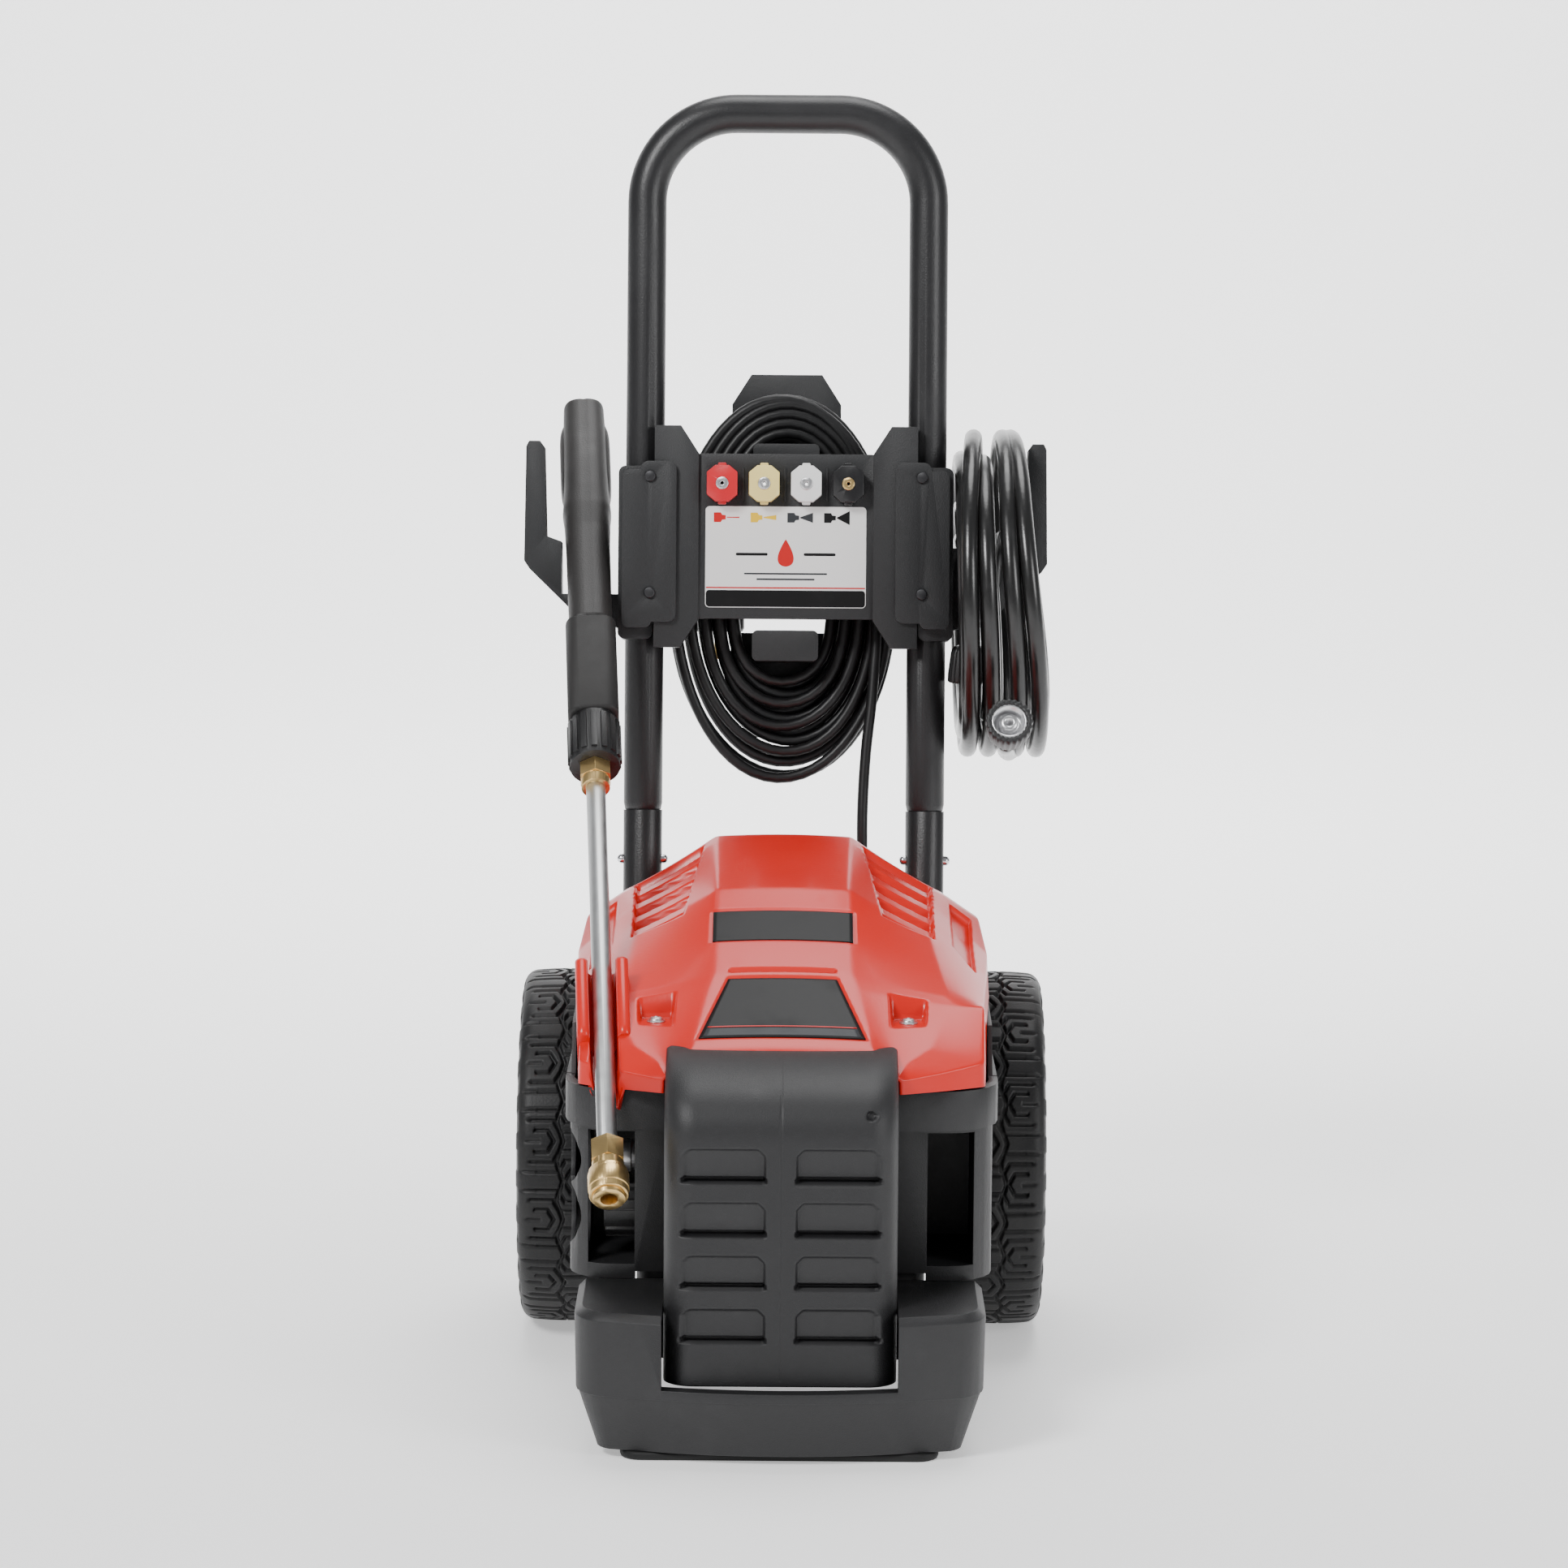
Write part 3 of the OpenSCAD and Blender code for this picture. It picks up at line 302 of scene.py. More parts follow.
lead = [(57, 42, 325), (57, 42, 342), (57, 45, 362), (58, 51, 388), (60, 57, 414), (63, 63, 440),
        (65, 69, 466), (66.5, 75, 492)]
tail_x, tail_w, tail_t = np.array([(-0.0575, 0.0425, 0.604), (-0.0555, 0.048, 0.592), (-0.0525, 0.055, 0.581),
                                   (-0.0505, 0.0598, 0.572), (-0.050, 0.0614, 0.566)]).T
shift = np.array([0, axle_y, 0])
cord_route = np.vstack([np.array(lead) / 1000 + shift, wound_cord(), on_handle(tail_x, tail_w, tail_t)])
cord_route = even_route(cord_route, 0.0092)
cord = tube("mains_cord", cord_route, CORD_D / 2, 12, (0, math.cos(LEAN), -math.sin(LEAN)))


def rubber_finish(name, colour, rough, cells=900.0, depth=0.00008):
    """Flexible rubber or PVC: fine skin texture, slow changes of gloss and a little dust."""
    f = Finish(name, Specular_IOR_Level=0.4)
    dust = f.noise(14.0, 4.0).above(0.45, 0.85)
    f.feed(f.blend(dust * 0.5, colour, tuple(c * 1.6 + 0.006 for c in colour)), "Base Color")
    f.feed(f.noise(90.0) * 0.12 + dust * 0.08 + rough, "Roughness")
    return f.raised(f.noise(cells, 2.0), depth).material


cord.data.materials.append(rubber_finish("cord_rubber", (0.007, 0.007, 0.0075), 0.36))
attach(cord, "machine")
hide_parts("cord_ends", "cord_coil")


def turned(name, profile, centre, way, sides=48, lobes=0, lobe_depth=0.0):
    """A turned piece: a profile of (distance along way, radius) carried round the way,
    with the radius swelling lobes times a turn if asked."""
    profile = np.asarray(profile, float)
    way = np.asarray(way, float) / np.linalg.norm(way)
    side = np.cross(way, (1, 0, 0) if abs(way[0]) < 0.9 else (0, 1, 0))
    side /= np.linalg.norm(side)
    over = np.cross(way, side)
    turn = np.linspace(0, 2 * math.pi, sides, endpoint=False)[None, :, None]
    swell = 1 + lobe_depth * np.cos(lobes * turn) if lobes else 1
    rings = (np.asarray(centre) + profile[:, None, :1] * way
             + profile[:, None, 1:] * swell * (side * np.cos(turn) + over * np.sin(turn)))
    return outwards(surface(name, rings, wrap_v=True, caps=True), 1e-7)


gland_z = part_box("cord_gland")[1].z - 0.022
ribs = np.linspace(0, 1, 60)
rings = (np.sin(2 * math.pi * 5 * ribs) > 0.2) * (ribs < 0.97)
relief = np.stack([gland_z + 0.005 + 0.027 * ribs, 0.0082 - 0.0028 * ribs - 0.0009 * rings], axis=1)
gland = turned("strain_relief", [(gland_z - 0.008, 0.001), (gland_z - 0.008, 0.008), (gland_z, 0.008),
                                 (gland_z, 0.0108), (gland_z + 0.0042, 0.0108), (gland_z + 0.005, 0.0098),
                                 *relief.tolist(), (gland_z + 0.0321, 0.003)],
               (0.057, axle_y + 0.042, 0), (0, 0, 1))
gland.data.materials.append(rubber_finish("gland_rubber", (0.007, 0.007, 0.0075), 0.45))
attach(gland, "machine")
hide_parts("cord_gland")


PLUG_X, PLUG_W, PLUG_T = -0.050, 0.0616, 0.500
handle_frame = Matrix.Translation((0, HANDLE_FOOT_Y, 0)) @ Matrix.Rotation(-LEAN, 4, "X")


def plug_body():
    """Rounded oblong sections from the flat face up to the cord: half width, half depth and height."""
    heights = np.array([0, 0.5, 3, 15, 22, 28, 34, 40, 46, 54, 54.2, 68, 68.5]) / 1000 + PLUG_T
    wide = np.array([0.002, 0.0185, 0.0198, 0.0196, 0.0182, 0.0188, 0.0176, 0.0182, 0.0165, 0.0092, 0.0086,
                     0.0056, 0.002])
    deep = np.array([0.002, 0.0118, 0.0130, 0.0128, 0.0119, 0.0124, 0.0115, 0.0120, 0.0113, 0.0090, 0.0086,
                     0.0056, 0.002])
    turn = np.linspace(0, 2 * math.pi, 56, endpoint=False)
    square = np.where(heights > PLUG_T + 0.053, 1.0, 0.42)[:, None]
    x = wide[:, None] * np.sign(np.cos(turn)) * np.abs(np.cos(turn)) ** square
    y = deep[:, None] * np.sign(np.sin(turn)) * np.abs(np.sin(turn)) ** square
    return outwards(surface("plug_body", on_handle(PLUG_X + x, PLUG_W + y, heights[:, None]), wrap_v=True,
                            caps=True))


def bar(name, low, high, edge):
    """A bar with softened edges between two corners."""
    shape = bmesh.new()
    bmesh.ops.create_cube(shape, size=1.0)
    low, high = np.array(low), np.array(high)
    bmesh.ops.scale(shape, vec=Vector(high - low), verts=shape.verts)
    bmesh.ops.translate(shape, vec=Vector((high + low) / 2), verts=shape.verts)
    bmesh.ops.bevel(shape, geom=shape.edges[:], offset=edge, segments=2, affect="EDGES", profile=0.5)
    mesh = bpy.data.meshes.new(name)
    shape.to_mesh(mesh)
    shape.free()
    piece = bpy.data.objects.new(name, mesh)
    bpy.context.scene.collection.objects.link(piece)
    return piece


def metal_finish(name, colour, rough, grain=(1, 1, 30), cells=60.0, depth=0.00002):
    """Bare metal: fine lines across the grain's long axis, and slow changes of gloss."""
    f = Finish(name, Metallic=1.0)
    lines = f.noise(cells, 4.0, along=grain)
    f.feed(f.blend(lines, shaded(colour, 0.86), colour), "Base Color")
    f.feed(lines * 0.14 + f.noise(35.0) * 0.08 + rough, "Roughness")
    return f.raised(lines, depth).material


plug = plug_body()
plug.data.materials.append(rubber_finish("plug_rubber", (0.009, 0.009, 0.0095), 0.42))
blades = [bar(f"plug_blade_{k}", (PLUG_X + 0.00635 * side - 0.00075, PLUG_W - 0.003, PLUG_T - 0.018),
              (PLUG_X + 0.00635 * side + 0.00075, PLUG_W + 0.003, PLUG_T + 0.001), 0.0003)
          for k, side in enumerate((-1, 1))]
blades.append(turned("plug_earth_pin", [
    (-0.020, 0.0004), (-0.0195, 0.0017), (-0.0175, 0.0024), (0.001, 0.0024)],
    (PLUG_X, PLUG_W + 0.008, PLUG_T), (0, 0, 1), 20))
for blade in blades:
    blade.data.transform(handle_frame)
blade_brass = metal_finish("blade_brass", (0.80, 0.62, 0.30), 0.2)
for blade in blades:
    blade.data.materials.append(blade_brass)
for piece in (plug, *blades):
    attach(piece, "machine")
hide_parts("plug")

# ---- High pressure hose and its two nuts
# About six metres of stiff glossy hose in four columns of turns on the arm of the right hook.
# Each end has a crimped steel ferrule and a black hand nut with a steel insert.
HOSE_D = 0.0126
nut_a_mouth = np.array([0.158, axle_y - 0.064, 0.446])
nut_a_way = np.array([0, -math.sin(math.radians(62)), math.cos(math.radians(62))])
nut_b_mouth = np.array([0.135, axle_y + 0.055, 0.459])


def wound_hose():
    """The hose's middle line: up out of one nut, over the arm, round turns that pass from the inner to the
    outer layer and from column to column over the top, and out below to the other nut."""
    layers = [0, 1, 2, 2, 1, 0, 0, 2, 2, 2]
    columns = [0, 0, 0, 1, 1, 1, 3, 3, 2, 2]
    u = np.linspace(0, 9.5, 9 * 60 + 30)
    turn = np.minimum(u.astype(int), 8)
    past = smoothstep((u - turn - 0.76) / 0.48)
    early = smoothstep((u - turn + 0.24) / 0.48)
    layers, columns = np.array(layers + layers[-1:], float), np.array(columns + columns[-1:], float)

    def eased(values):
        before, here, after = values[np.maximum(turn - 1, 0)], values[turn], values[turn + 1]
        inside = before + (here - before) * early
        inside = np.where(turn == 0, here, inside)
        return inside + (after - here) * past

    layer, column = eased(layers), eased(columns)
    angle = 2 * math.pi * u
    top, bottom = 0.5595 + 0.037 * layer, 0.4317 - 0.0126 * layer
    wide = 0.0813 + 0.0162 * layer
    y = 0.092 + wide * np.sin(angle)
    z = (top + bottom) / 2 + (top - bottom) / 2 * np.cos(angle)
    low = smoothstep((0.60 - z) / 0.18)
    x = 0.1287 + 0.0141 * column + low * (0.004 + 0.0033 * column) + 0.0012 * np.sin(3.1 * u)
    return np.stack([x, y, z], axis=1)


hose_loops = wound_hose()
rise = np.radians(np.linspace(0, 84, 8))
start = np.stack([0.135 - 0.0060 * smoothstep(rise / math.pi * 2), 0.055 + 0.0504 * (1 - np.cos(rise)),
                  0.5085 + 0.0504 * np.sin(rise)], axis=1)
start = np.vstack([[0.135, 0.055, 0.497], start])
joins = 4
exit_end = np.array([(0.1655, 0.078, 0.4062), (0.163, 0.058, 0.4075), (0.1605, 0.036, 0.4115),
                     (0.159, 0.014, 0.4165), (0.158, -0.006, 0.4205), (0.158, -0.020, 0.4235),
                     (0.158, -0.0290, 0.4274)])
hose_route = np.vstack([start, hose_loops[joins:-2], exit_end]) + shift
hose_route = even_route(hose_route, 0.0095)
hose = tube("pressure_hose", hose_route, HOSE_D / 2, 16, (1, 0, 0))


def hose_finish():
    """Glossy smooth jacket with a trace of the braid beneath and light handling marks."""
    f = Finish("hose_jacket", Coat_Roughness=0.2, Specular_IOR_Level=0.5)
    marks = f.noise(40.0, 5.0).above(0.5, 0.8)
    f.feed(f.blend(marks * 0.6, (0.006, 0.006, 0.006), (0.013, 0.013, 0.014)), "Base Color")
    f.feed(marks * 0.14 + 0.30, "Roughness")
    f.feed(0.35 - marks * 0.2, "Coat Weight")
    return f.raised(f.noise(260.0, 2.0), 0.00012).material


hose.data.materials.append(hose_finish())
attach(hose, "machine")
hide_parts("hose_coil")


def moulded_finish(name, colour, rough=0.42, cells=1500.0, depth=0.00009):
    """Moulded plastic with a fine spark texture, faint flow mottling and slightly rubbed patches."""
    f = Finish(name, Specular_IOR_Level=0.5)
    flow = f.noise(7.0, 4.0)
    rubbed = f.noise(26.0, 5.0).above(0.52, 0.78)
    base = f.blend(flow, shaded(colour, 0.9), shaded(colour, 1.12))
    f.feed(f.blend(rubbed * 0.35, base, shaded(colour, 1.6)), "Base Color")
    f.feed(flow * 0.1 - rubbed * 0.06 + rough, "Roughness")
    return f.raised(f.grains(cells) + f.noise(cells * 0.6, 2.0), depth).material


steel = metal_finish("bright_steel", (0.72, 0.72, 0.73), 0.22)
nut_plastic = moulded_finish("nut_plastic", (0.011, 0.011, 0.0115), 0.38)


def hose_nut(letter, mouth, way, body):
    """A hand nut: ribbed black collar round a steel insert, and the crimped ferrule behind it."""
    way = way / np.linalg.norm(way)
    ribbed = turned(f"hose_nut_{letter}_collar", [
        (-0.026, 0.0076), (-0.026, 0.0115), (-0.0252, 0.0128), (-0.022, 0.0142), (-0.006, 0.0162),
        (-0.001, 0.0163),
        (0, 0.0157), (0, 0.0128), (-0.001, 0.0122), (-0.013, 0.0122), (-0.013, 0.0076)],
        mouth, way, 144, 24, 0.035)
    insert = turned(f"hose_nut_{letter}_insert", [
        (-0.0265, 0.0074), (-0.0265, 0.0100), (-0.0010, 0.0126), (-0.0006, 0.0121), (-0.0006, 0.0108),
        (-0.0122, 0.0106), (-0.0124, 0.0078)], mouth, way, 64)
    waves = np.linspace(0, 1, 40)
    crimp = np.stack([-0.040 + 0.013 * waves, 0.0073 - 0.0004 * (np.sin(2 * math.pi * 3 * waves) > 0)], axis=1)
    stem = turned(f"hose_nut_{letter}_ferrule", [
        (-0.0405, 0.0045), (-0.0403, 0.0070), *crimp.tolist(), (-0.0265, 0.0072), (-0.010, 0.0072),
        (-0.0045, 0.0066), (-0.0035, 0.0045), (-0.0035, 0.0025), (-0.030, 0.0024), (-0.030, 0.0006)],
        mouth, way, 64)
    for piece, finish in ((ribbed, nut_plastic), (insert, steel), (stem, steel)):
        piece.data.materials.append(finish)
        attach(piece, body)
    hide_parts(f"hose_nut_{letter}")
    return [ribbed, insert, stem]


nut_a = hose_nut("a", nut_a_mouth, nut_a_way, "hose_swivel_a")
nut_b = hose_nut("b", nut_b_mouth, np.array([0, 0, -1.0]), "hose_swivel_b")

# ---- Handle, frame tubes and snap buttons
# One bent steel tube plugs with a narrower neck into two short tubes that stand in the chassis.
# Domed spring buttons lock each side, and everything but the buttons is powder coated satin black.


def softened(node, edge, finish, name=None, fine=None, flat=30.0, weld=2e-5, steps=2):
    """A merged copy of a CAD node with its sharp edges rounded by a bevel of one width, or of a width for
    each edge that fine(midpoints) gives as a share of it. It replaces the node and rides on its body."""
    source = frame["nodes"][node]
    piece = bpy.data.objects.new(name or f"{node}_moulded", source.data.copy())
    bpy.context.scene.collection.objects.link(piece)
    piece.data.materials.clear()
    shape = bmesh.new()
    shape.from_mesh(piece.data)
    bmesh.ops.remove_doubles(shape, verts=shape.verts, dist=weld)
    bmesh.ops.dissolve_degenerate(shape, edges=shape.edges, dist=weld)
    bmesh.ops.dissolve_limit(shape, angle_limit=math.radians(0.6), verts=shape.verts, edges=shape.edges,
                             delimit={"NORMAL"})
    for face in shape.faces:
        face.smooth = True
    weights = shape.edges.layers.float.new("bevel_weight_edge")
    sharp = [e for e in shape.edges if len(e.link_faces) == 2 and e.calc_face_angle(0) > math.radians(flat)]
    middles = np.array([(e.verts[0].co + e.verts[1].co) / 2 for e in sharp]).reshape(-1, 3)
    shares = fine(middles) if fine else np.ones(len(sharp))
    for e, share in zip(sharp, shares):
        e[weights] = float(share)
    shape.to_mesh(piece.data)
    shape.free()
    rounding = piece.modifiers.new("rounded_edges", "BEVEL")
    rounding.width, rounding.segments, rounding.limit_method = edge, steps, "WEIGHT"
    rounding.use_clamp_overlap, rounding.harden_normals, rounding.miter_outer = True, True, "MITER_ARC"
    piece.data.materials.append(finish)
    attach(piece, source["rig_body"])
    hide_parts(node)
    return piece


def powder_coat(name, colour, rough=0.34):
    """Baked powder coat: a fine orange peel, soft gloss and a few dull handling patches."""
    f = Finish(name, Specular_IOR_Level=0.5)
    handled = f.noise(11.0, 4.0).above(0.5, 0.8)
    f.feed(f.blend(handled * 0.5, colour, shaded(colour, 1.5)), "Base Color")
    f.feed(handled * 0.1 + f.noise(300.0) * 0.08 + rough, "Roughness")
    return f.raised(f.noise(850.0, 1.0), 0.00012).material


tube_coat = powder_coat("tube_powder_coat", (0.012, 0.012, 0.013))
for node in ("handle_tube", "frame_tube_left", "frame_tube_right"):
    softened(node, 0.0006, tube_coat)
chrome = metal_finish("button_chrome", (0.86, 0.86, 0.88), 0.08, cells=40.0)
for node in ("snap_button_left_outer", "snap_button_left_inner", "snap_button_right_inner",
             "snap_button_right_outer"):
    softened(node, 0.0002, chrome)

# ---- Chassis, axle and wheels
# A moulded tub carries the axle tube, the two sockets of the handle frame and the motor's supports.
# Each wheel is a moulded rim pressed into a ten inch tyre with deep nested tread blocks.
tub_plastic = moulded_finish("tub_plastic", (0.011, 0.011, 0.012), 0.5)
softened("chassis", 0.0015, tub_plastic)
zinc = metal_finish("zinc_plate", (0.60, 0.60, 0.60), 0.28)
softened("axle", 0.001, zinc)
softened("axle_fasteners", 0.0004, zinc)
rim_plastic = moulded_finish("rim_plastic", (0.009, 0.009, 0.0095), 0.4)
for side in ("left", "right"):
    softened(f"rim_{side}", 0.0012, rim_plastic)

TYRE_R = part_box("tyre_left")[1].z - axle_z
TYRE_OUT = -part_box("tyre_left")[0].x
TYRE_W = TYRE_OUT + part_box("tyre_left")[1].x
BEAD_R = 0.083


def near_line(value, half, soft=0.0007):
    """1 within half of zero and 0 outside, with a soft wall."""
    return 1 - smoothstep((np.abs(value) - half) / soft + 0.5)


def tread_depth(along, across):
    """How deep the moulded pattern is, with along round the tyre and across from the middle outwards.
    A motif is three nested half hexagons that open outwards, with a zig-zag groove between the rows."""
    pitch = 2 * math.pi * TYRE_R / 14
    depth = np.zeros(np.broadcast(along, across).shape)
    for row in (1, -1):
        x = row * across - 0.0125
        y = (along + (0.5 * pitch if row < 0 else 0)) % pitch - pitch / 2
        hexed = np.maximum(np.abs(y), np.abs(y) * 0.5 + np.abs(x) * 0.866)
        here = across * row > 0.0002
        for ring, half in ((0.0215, 0.0011), (0.0145, 0.0011), (0.0075, 0.0010)):
            groove = near_line(hexed - ring, half) * np.where(x > 0.004, near_line(np.abs(y) - ring, half), 1)
            depth = np.maximum(depth, here * groove * 0.0028)
        spoke = near_line(y, 0.0010) * (x > 0.0005) * (x < 0.012)
        depth = np.maximum(depth, here * spoke * 0.0022)
    fold = np.abs((along % (pitch / 2)) - pitch / 4) * 0.55 - pitch / 16
    middle = near_line(across - fold * 0.6, 0.0013)
    return np.maximum(depth, middle * 0.003) * smoothstep((0.0285 - np.abs(across)) / 0.002)


def tyre(side):
    """A section carried round the axle: crown, shoulder and side wall by arc length, cut in by the tread."""
    half = TYRE_W / 2
    shoulder = 0.0105
    a = np.linspace(0, math.pi / 2, 9)[1:]
    crown = np.linspace(-(half - shoulder), half - shoulder, 64)
    crown_r = TYRE_R - 0.0022 * (crown / (half - shoulder)) ** 2 * 0.4
    right = np.stack([half - shoulder + shoulder * np.sin(a), crown_r[-1] - shoulder * (1 - np.cos(a))], axis=1)
    wall_r = np.array([0.108, 0.1045, 0.1035, 0.1005, 0.0995, 0.0935, 0.0925, 0.090, 0.087, BEAD_R])
    wall_x = half - np.array([0.0, 0.0003, 0.0012, 0.0012, 0.0002, 0.0002, 0.0011, 0.0011, 0.0022, 0.006])
    wall = np.stack([wall_x, wall_r], axis=1)
    edge = np.vstack([right, wall])
    section = np.vstack([edge[::-1] * [-1, 1], np.stack([crown, crown_r], axis=1), edge])
    turn = np.linspace(0, 2 * math.pi, 672, endpoint=False)
    x, r = section[:, 0][None, :], section[:, 1][None, :]
    cut = tread_depth(turn[:, None] * TYRE_R, np.clip(x, -half, half) + 0 * turn[:, None])
    r = r - cut * (r > TYRE_R - 0.006)
    blocks = np.abs(((turn * 28 / (2 * math.pi)) % 1) - 0.5)[:, None]
    lug = (smoothstep((0.30 - blocks) / 0.06) * smoothstep((r - 0.110) / 0.002)
           * smoothstep((0.1215 - r) / 0.002))
    x = x - np.sign(x) * lug * 0.0012 * (np.abs(x) > half - 0.006)
    out = 1 if side == "right" else -1
    points = np.stack([out * (TYRE_OUT - half) + x + 0 * r, axle_y + r * np.sin(turn)[:, None],
                       axle_z + r * np.cos(turn)[:, None]], axis=2)
    piece = surface(f"tyre_{side}_tread", points, wrap_u=True, wrap_v=True)
    return outwards(piece)


def tyre_finish():
    """Satin black rubber that is greyer and duller where it has rolled."""
    f = Finish("tyre_rubber", Specular_IOR_Level=0.35)
    dusty = f.noise(22.0, 5.0).above(0.42, 0.75)
    f.feed(f.blend(dusty, (0.009, 0.009, 0.0095), (0.021, 0.0205, 0.020)), "Base Color")
    f.feed(dusty * 0.15 + 0.46, "Roughness")
    return f.raised(f.noise(700.0, 3.0), 0.00015).material


rolled_rubber = tyre_finish()
for side in ("left", "right"):
    piece = tyre(side)
    piece.data.materials.append(rolled_rubber)
    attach(piece, f"wheel_{side}")
    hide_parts(f"tyre_{side}")

# ---- Bumper, foot and front cowl
# The moulded bumper wraps round the front corners and stands on a rubber foot.
# The louvred cowl sits in its gap and covers the pump head: four rows of two scooped slots.
bumper_plastic = moulded_finish("bumper_plastic", (0.011, 0.011, 0.012), 0.46)
softened("bumper", 0.0022, bumper_plastic, steps=3)
softened("rubber_foot", 0.002, rubber_finish("foot_rubber", (0.006, 0.006, 0.006), 0.55))

cowl_low, cowl_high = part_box("front_cowl")
COWL_HALF = cowl_high.x
COWL_BACK = cowl_high.y


def cowl():
    """U-shaped sections at rising heights: flat front, round corners and straight sides that run back.
    The slots press the front inwards, deepest at the lower lip of each scoop."""
    front = cowl_low.y
    lift = np.concatenate([np.linspace(cowl_low.z, 0.206, 190), np.linspace(0.2065, cowl_high.z, 70)])
    bow = np.clip((lift - 0.206) / (cowl_high.z - 0.206), 0, 1)
    depth = (COWL_BACK - front) * np.where(lift < 0.206, 1 - 0.045 * (lift - cowl_low.z) / 0.155,
                                           0.955 * np.sqrt(np.clip(1 - bow ** 2.6, 0, 1)))
    depth = np.maximum(depth, 0.0015)[:, None]
    corner = np.minimum(0.020, depth * 0.9)
    q = np.linspace(-1, 1, 211)[None, :]
    flat_part, side_part = 0.70, 0.86
    a = np.clip((np.abs(q) - flat_part) / (side_part - flat_part), 0, 1) * math.pi / 2
    x = np.where(np.abs(q) <= flat_part, np.abs(q) / flat_part * (COWL_HALF - corner),
                 COWL_HALF - corner + corner * np.sin(a)) * np.sign(q)
    back = np.where(np.abs(q) <= flat_part, 0, corner * (1 - np.cos(a)))
    back = back + np.clip((np.abs(q) - side_part) / (1 - side_part), 0, 1) * np.maximum(depth - corner, 0)
    y = COWL_BACK - depth + back
    z = np.repeat(lift[:, None], 211, 1)
    press = np.zeros_like(x)
    for k in range(4):
        slot = 0.081 + 0.035 * k
        for s in (-1, 1):
            inside = smoothstep((0.0285 - np.abs(x - 0.037 * s)) / 0.003)
            over = z - slot
            taper = 0.96 * np.maximum(over - 0.016, 0)
            boxed = smoothstep((0.0275 - taper - np.abs(x - 0.037 * s)) / 0.0016)
            scoop = smoothstep((0.0215 - over) / 0.002) * (over > 0) * (0.0018 + 0.0035 * (1 - over / 0.0215))
            gap = near_line(over, 0.0016, 0.0008)
            press = np.maximum(press, np.maximum(boxed * scoop, inside * 0.0105 * gap))
            press = np.where((over < -0.0016) & (over > -0.0034), -0.0006 * inside, press)
    press += near_line(x, 0.0004, 0.0006) * 0.0006 * (z > 0.055)
    press += 0.004 * smoothstep((0.0034 - np.hypot(x - 0.058, z - 0.228)) / 0.0008)
    y = y + press * (np.abs(q) < 0.78)
    return outwards(surface("front_cowl_louvred", np.stack([x, y, z], axis=2)), 1e-5)


front_cowl = cowl()
shell = front_cowl.modifiers.new("wall", "SOLIDIFY")
shell.thickness, shell.offset = 0.0024, -1
front_cowl.data.materials.append(moulded_finish("cowl_plastic", (0.011, 0.011, 0.012), 0.44))
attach(front_cowl, "machine")
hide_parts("front_cowl")

# ---- Body shell and hood
# The black shell closes the sides, its arches clear the tyres and its bays leave room for the fittings.
# A glossy red hood with a raised spine covers the motor; vents and a lance rest are moulded into it.
shell_plastic = moulded_finish("shell_plastic", (0.012, 0.012, 0.013), 0.47)
softened("body_shell", 0.0025, shell_plastic, steps=3)
hood_low, hood_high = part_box("hood")
GUN_TAIL = np.array([-0.1526, axle_y + 0.205, 0.652])
GUN_PITCH, GUN_YAW = math.radians(38.7), math.radians(3.13 - 90)
GUN_TURN = np.array(Matrix.Rotation(GUN_PITCH, 3, "X") @ Matrix.Rotation(GUN_YAW, 3, "Z"))
LANCE_D = 0.0135
SCREW_Z = 0.2685
HOOD_FOOT_Z = 0.2715


def hood_ridges(y):
    """Half widths and heights of the hood's ridges at each station, from the seam up to the spine."""
    a = y - axle_y
    at = np.array([-0.332, -0.318, -0.302, -0.262, -0.250, -0.160, -0.100, -0.060, -0.045, 0.016])
    spine_x = np.interp(a, at, [0.074, 0.060, 0.057, 0.049, 0.046, 0.046, 0.047, 0.048, 0.048, 0.048])
    spine_z = np.interp(a, at, [0.2445, 0.259, 0.267, 0.290, 0.297, 0.340, 0.3505, 0.3575, 0.360, 0.345])
    brow_x = np.interp(a, at, [0.0755, 0.082, 0.098, 0.112, 0.110, 0.100, 0.105, 0.112, 0.112, 0.112])
    brow_z = np.interp(a, at, [0.243, 0.251, 0.2585, 0.2785, 0.2835, 0.312, 0.3195, 0.322, 0.3205, 0.312])
    rim_x = np.interp(a, at, [0.0760, 0.105, 0.134, 0.135, 0.135, 0.140, 0.143, 0.1385, 0.138, 0.138])
    rim_z = np.interp(a, at, [0.2405, 0.244, 0.248, 0.278, 0.278, 0.281, 0.286, 0.304, 0.303, 0.294])
    foot_z = np.interp(a, [-0.332, -0.258, -0.240, -0.100, 0.016], [0.232, 0.232, 0.262, 0.271, 0.271])
    foot_x = np.interp(a, at, [0.0762, 0.107, 0.1345, 0.1365, 0.137, 0.142, 0.1435, 0.1415, 0.141, 0.140])
    return foot_x, foot_z, rim_x, rim_z, brow_x, brow_z, spine_x, spine_z


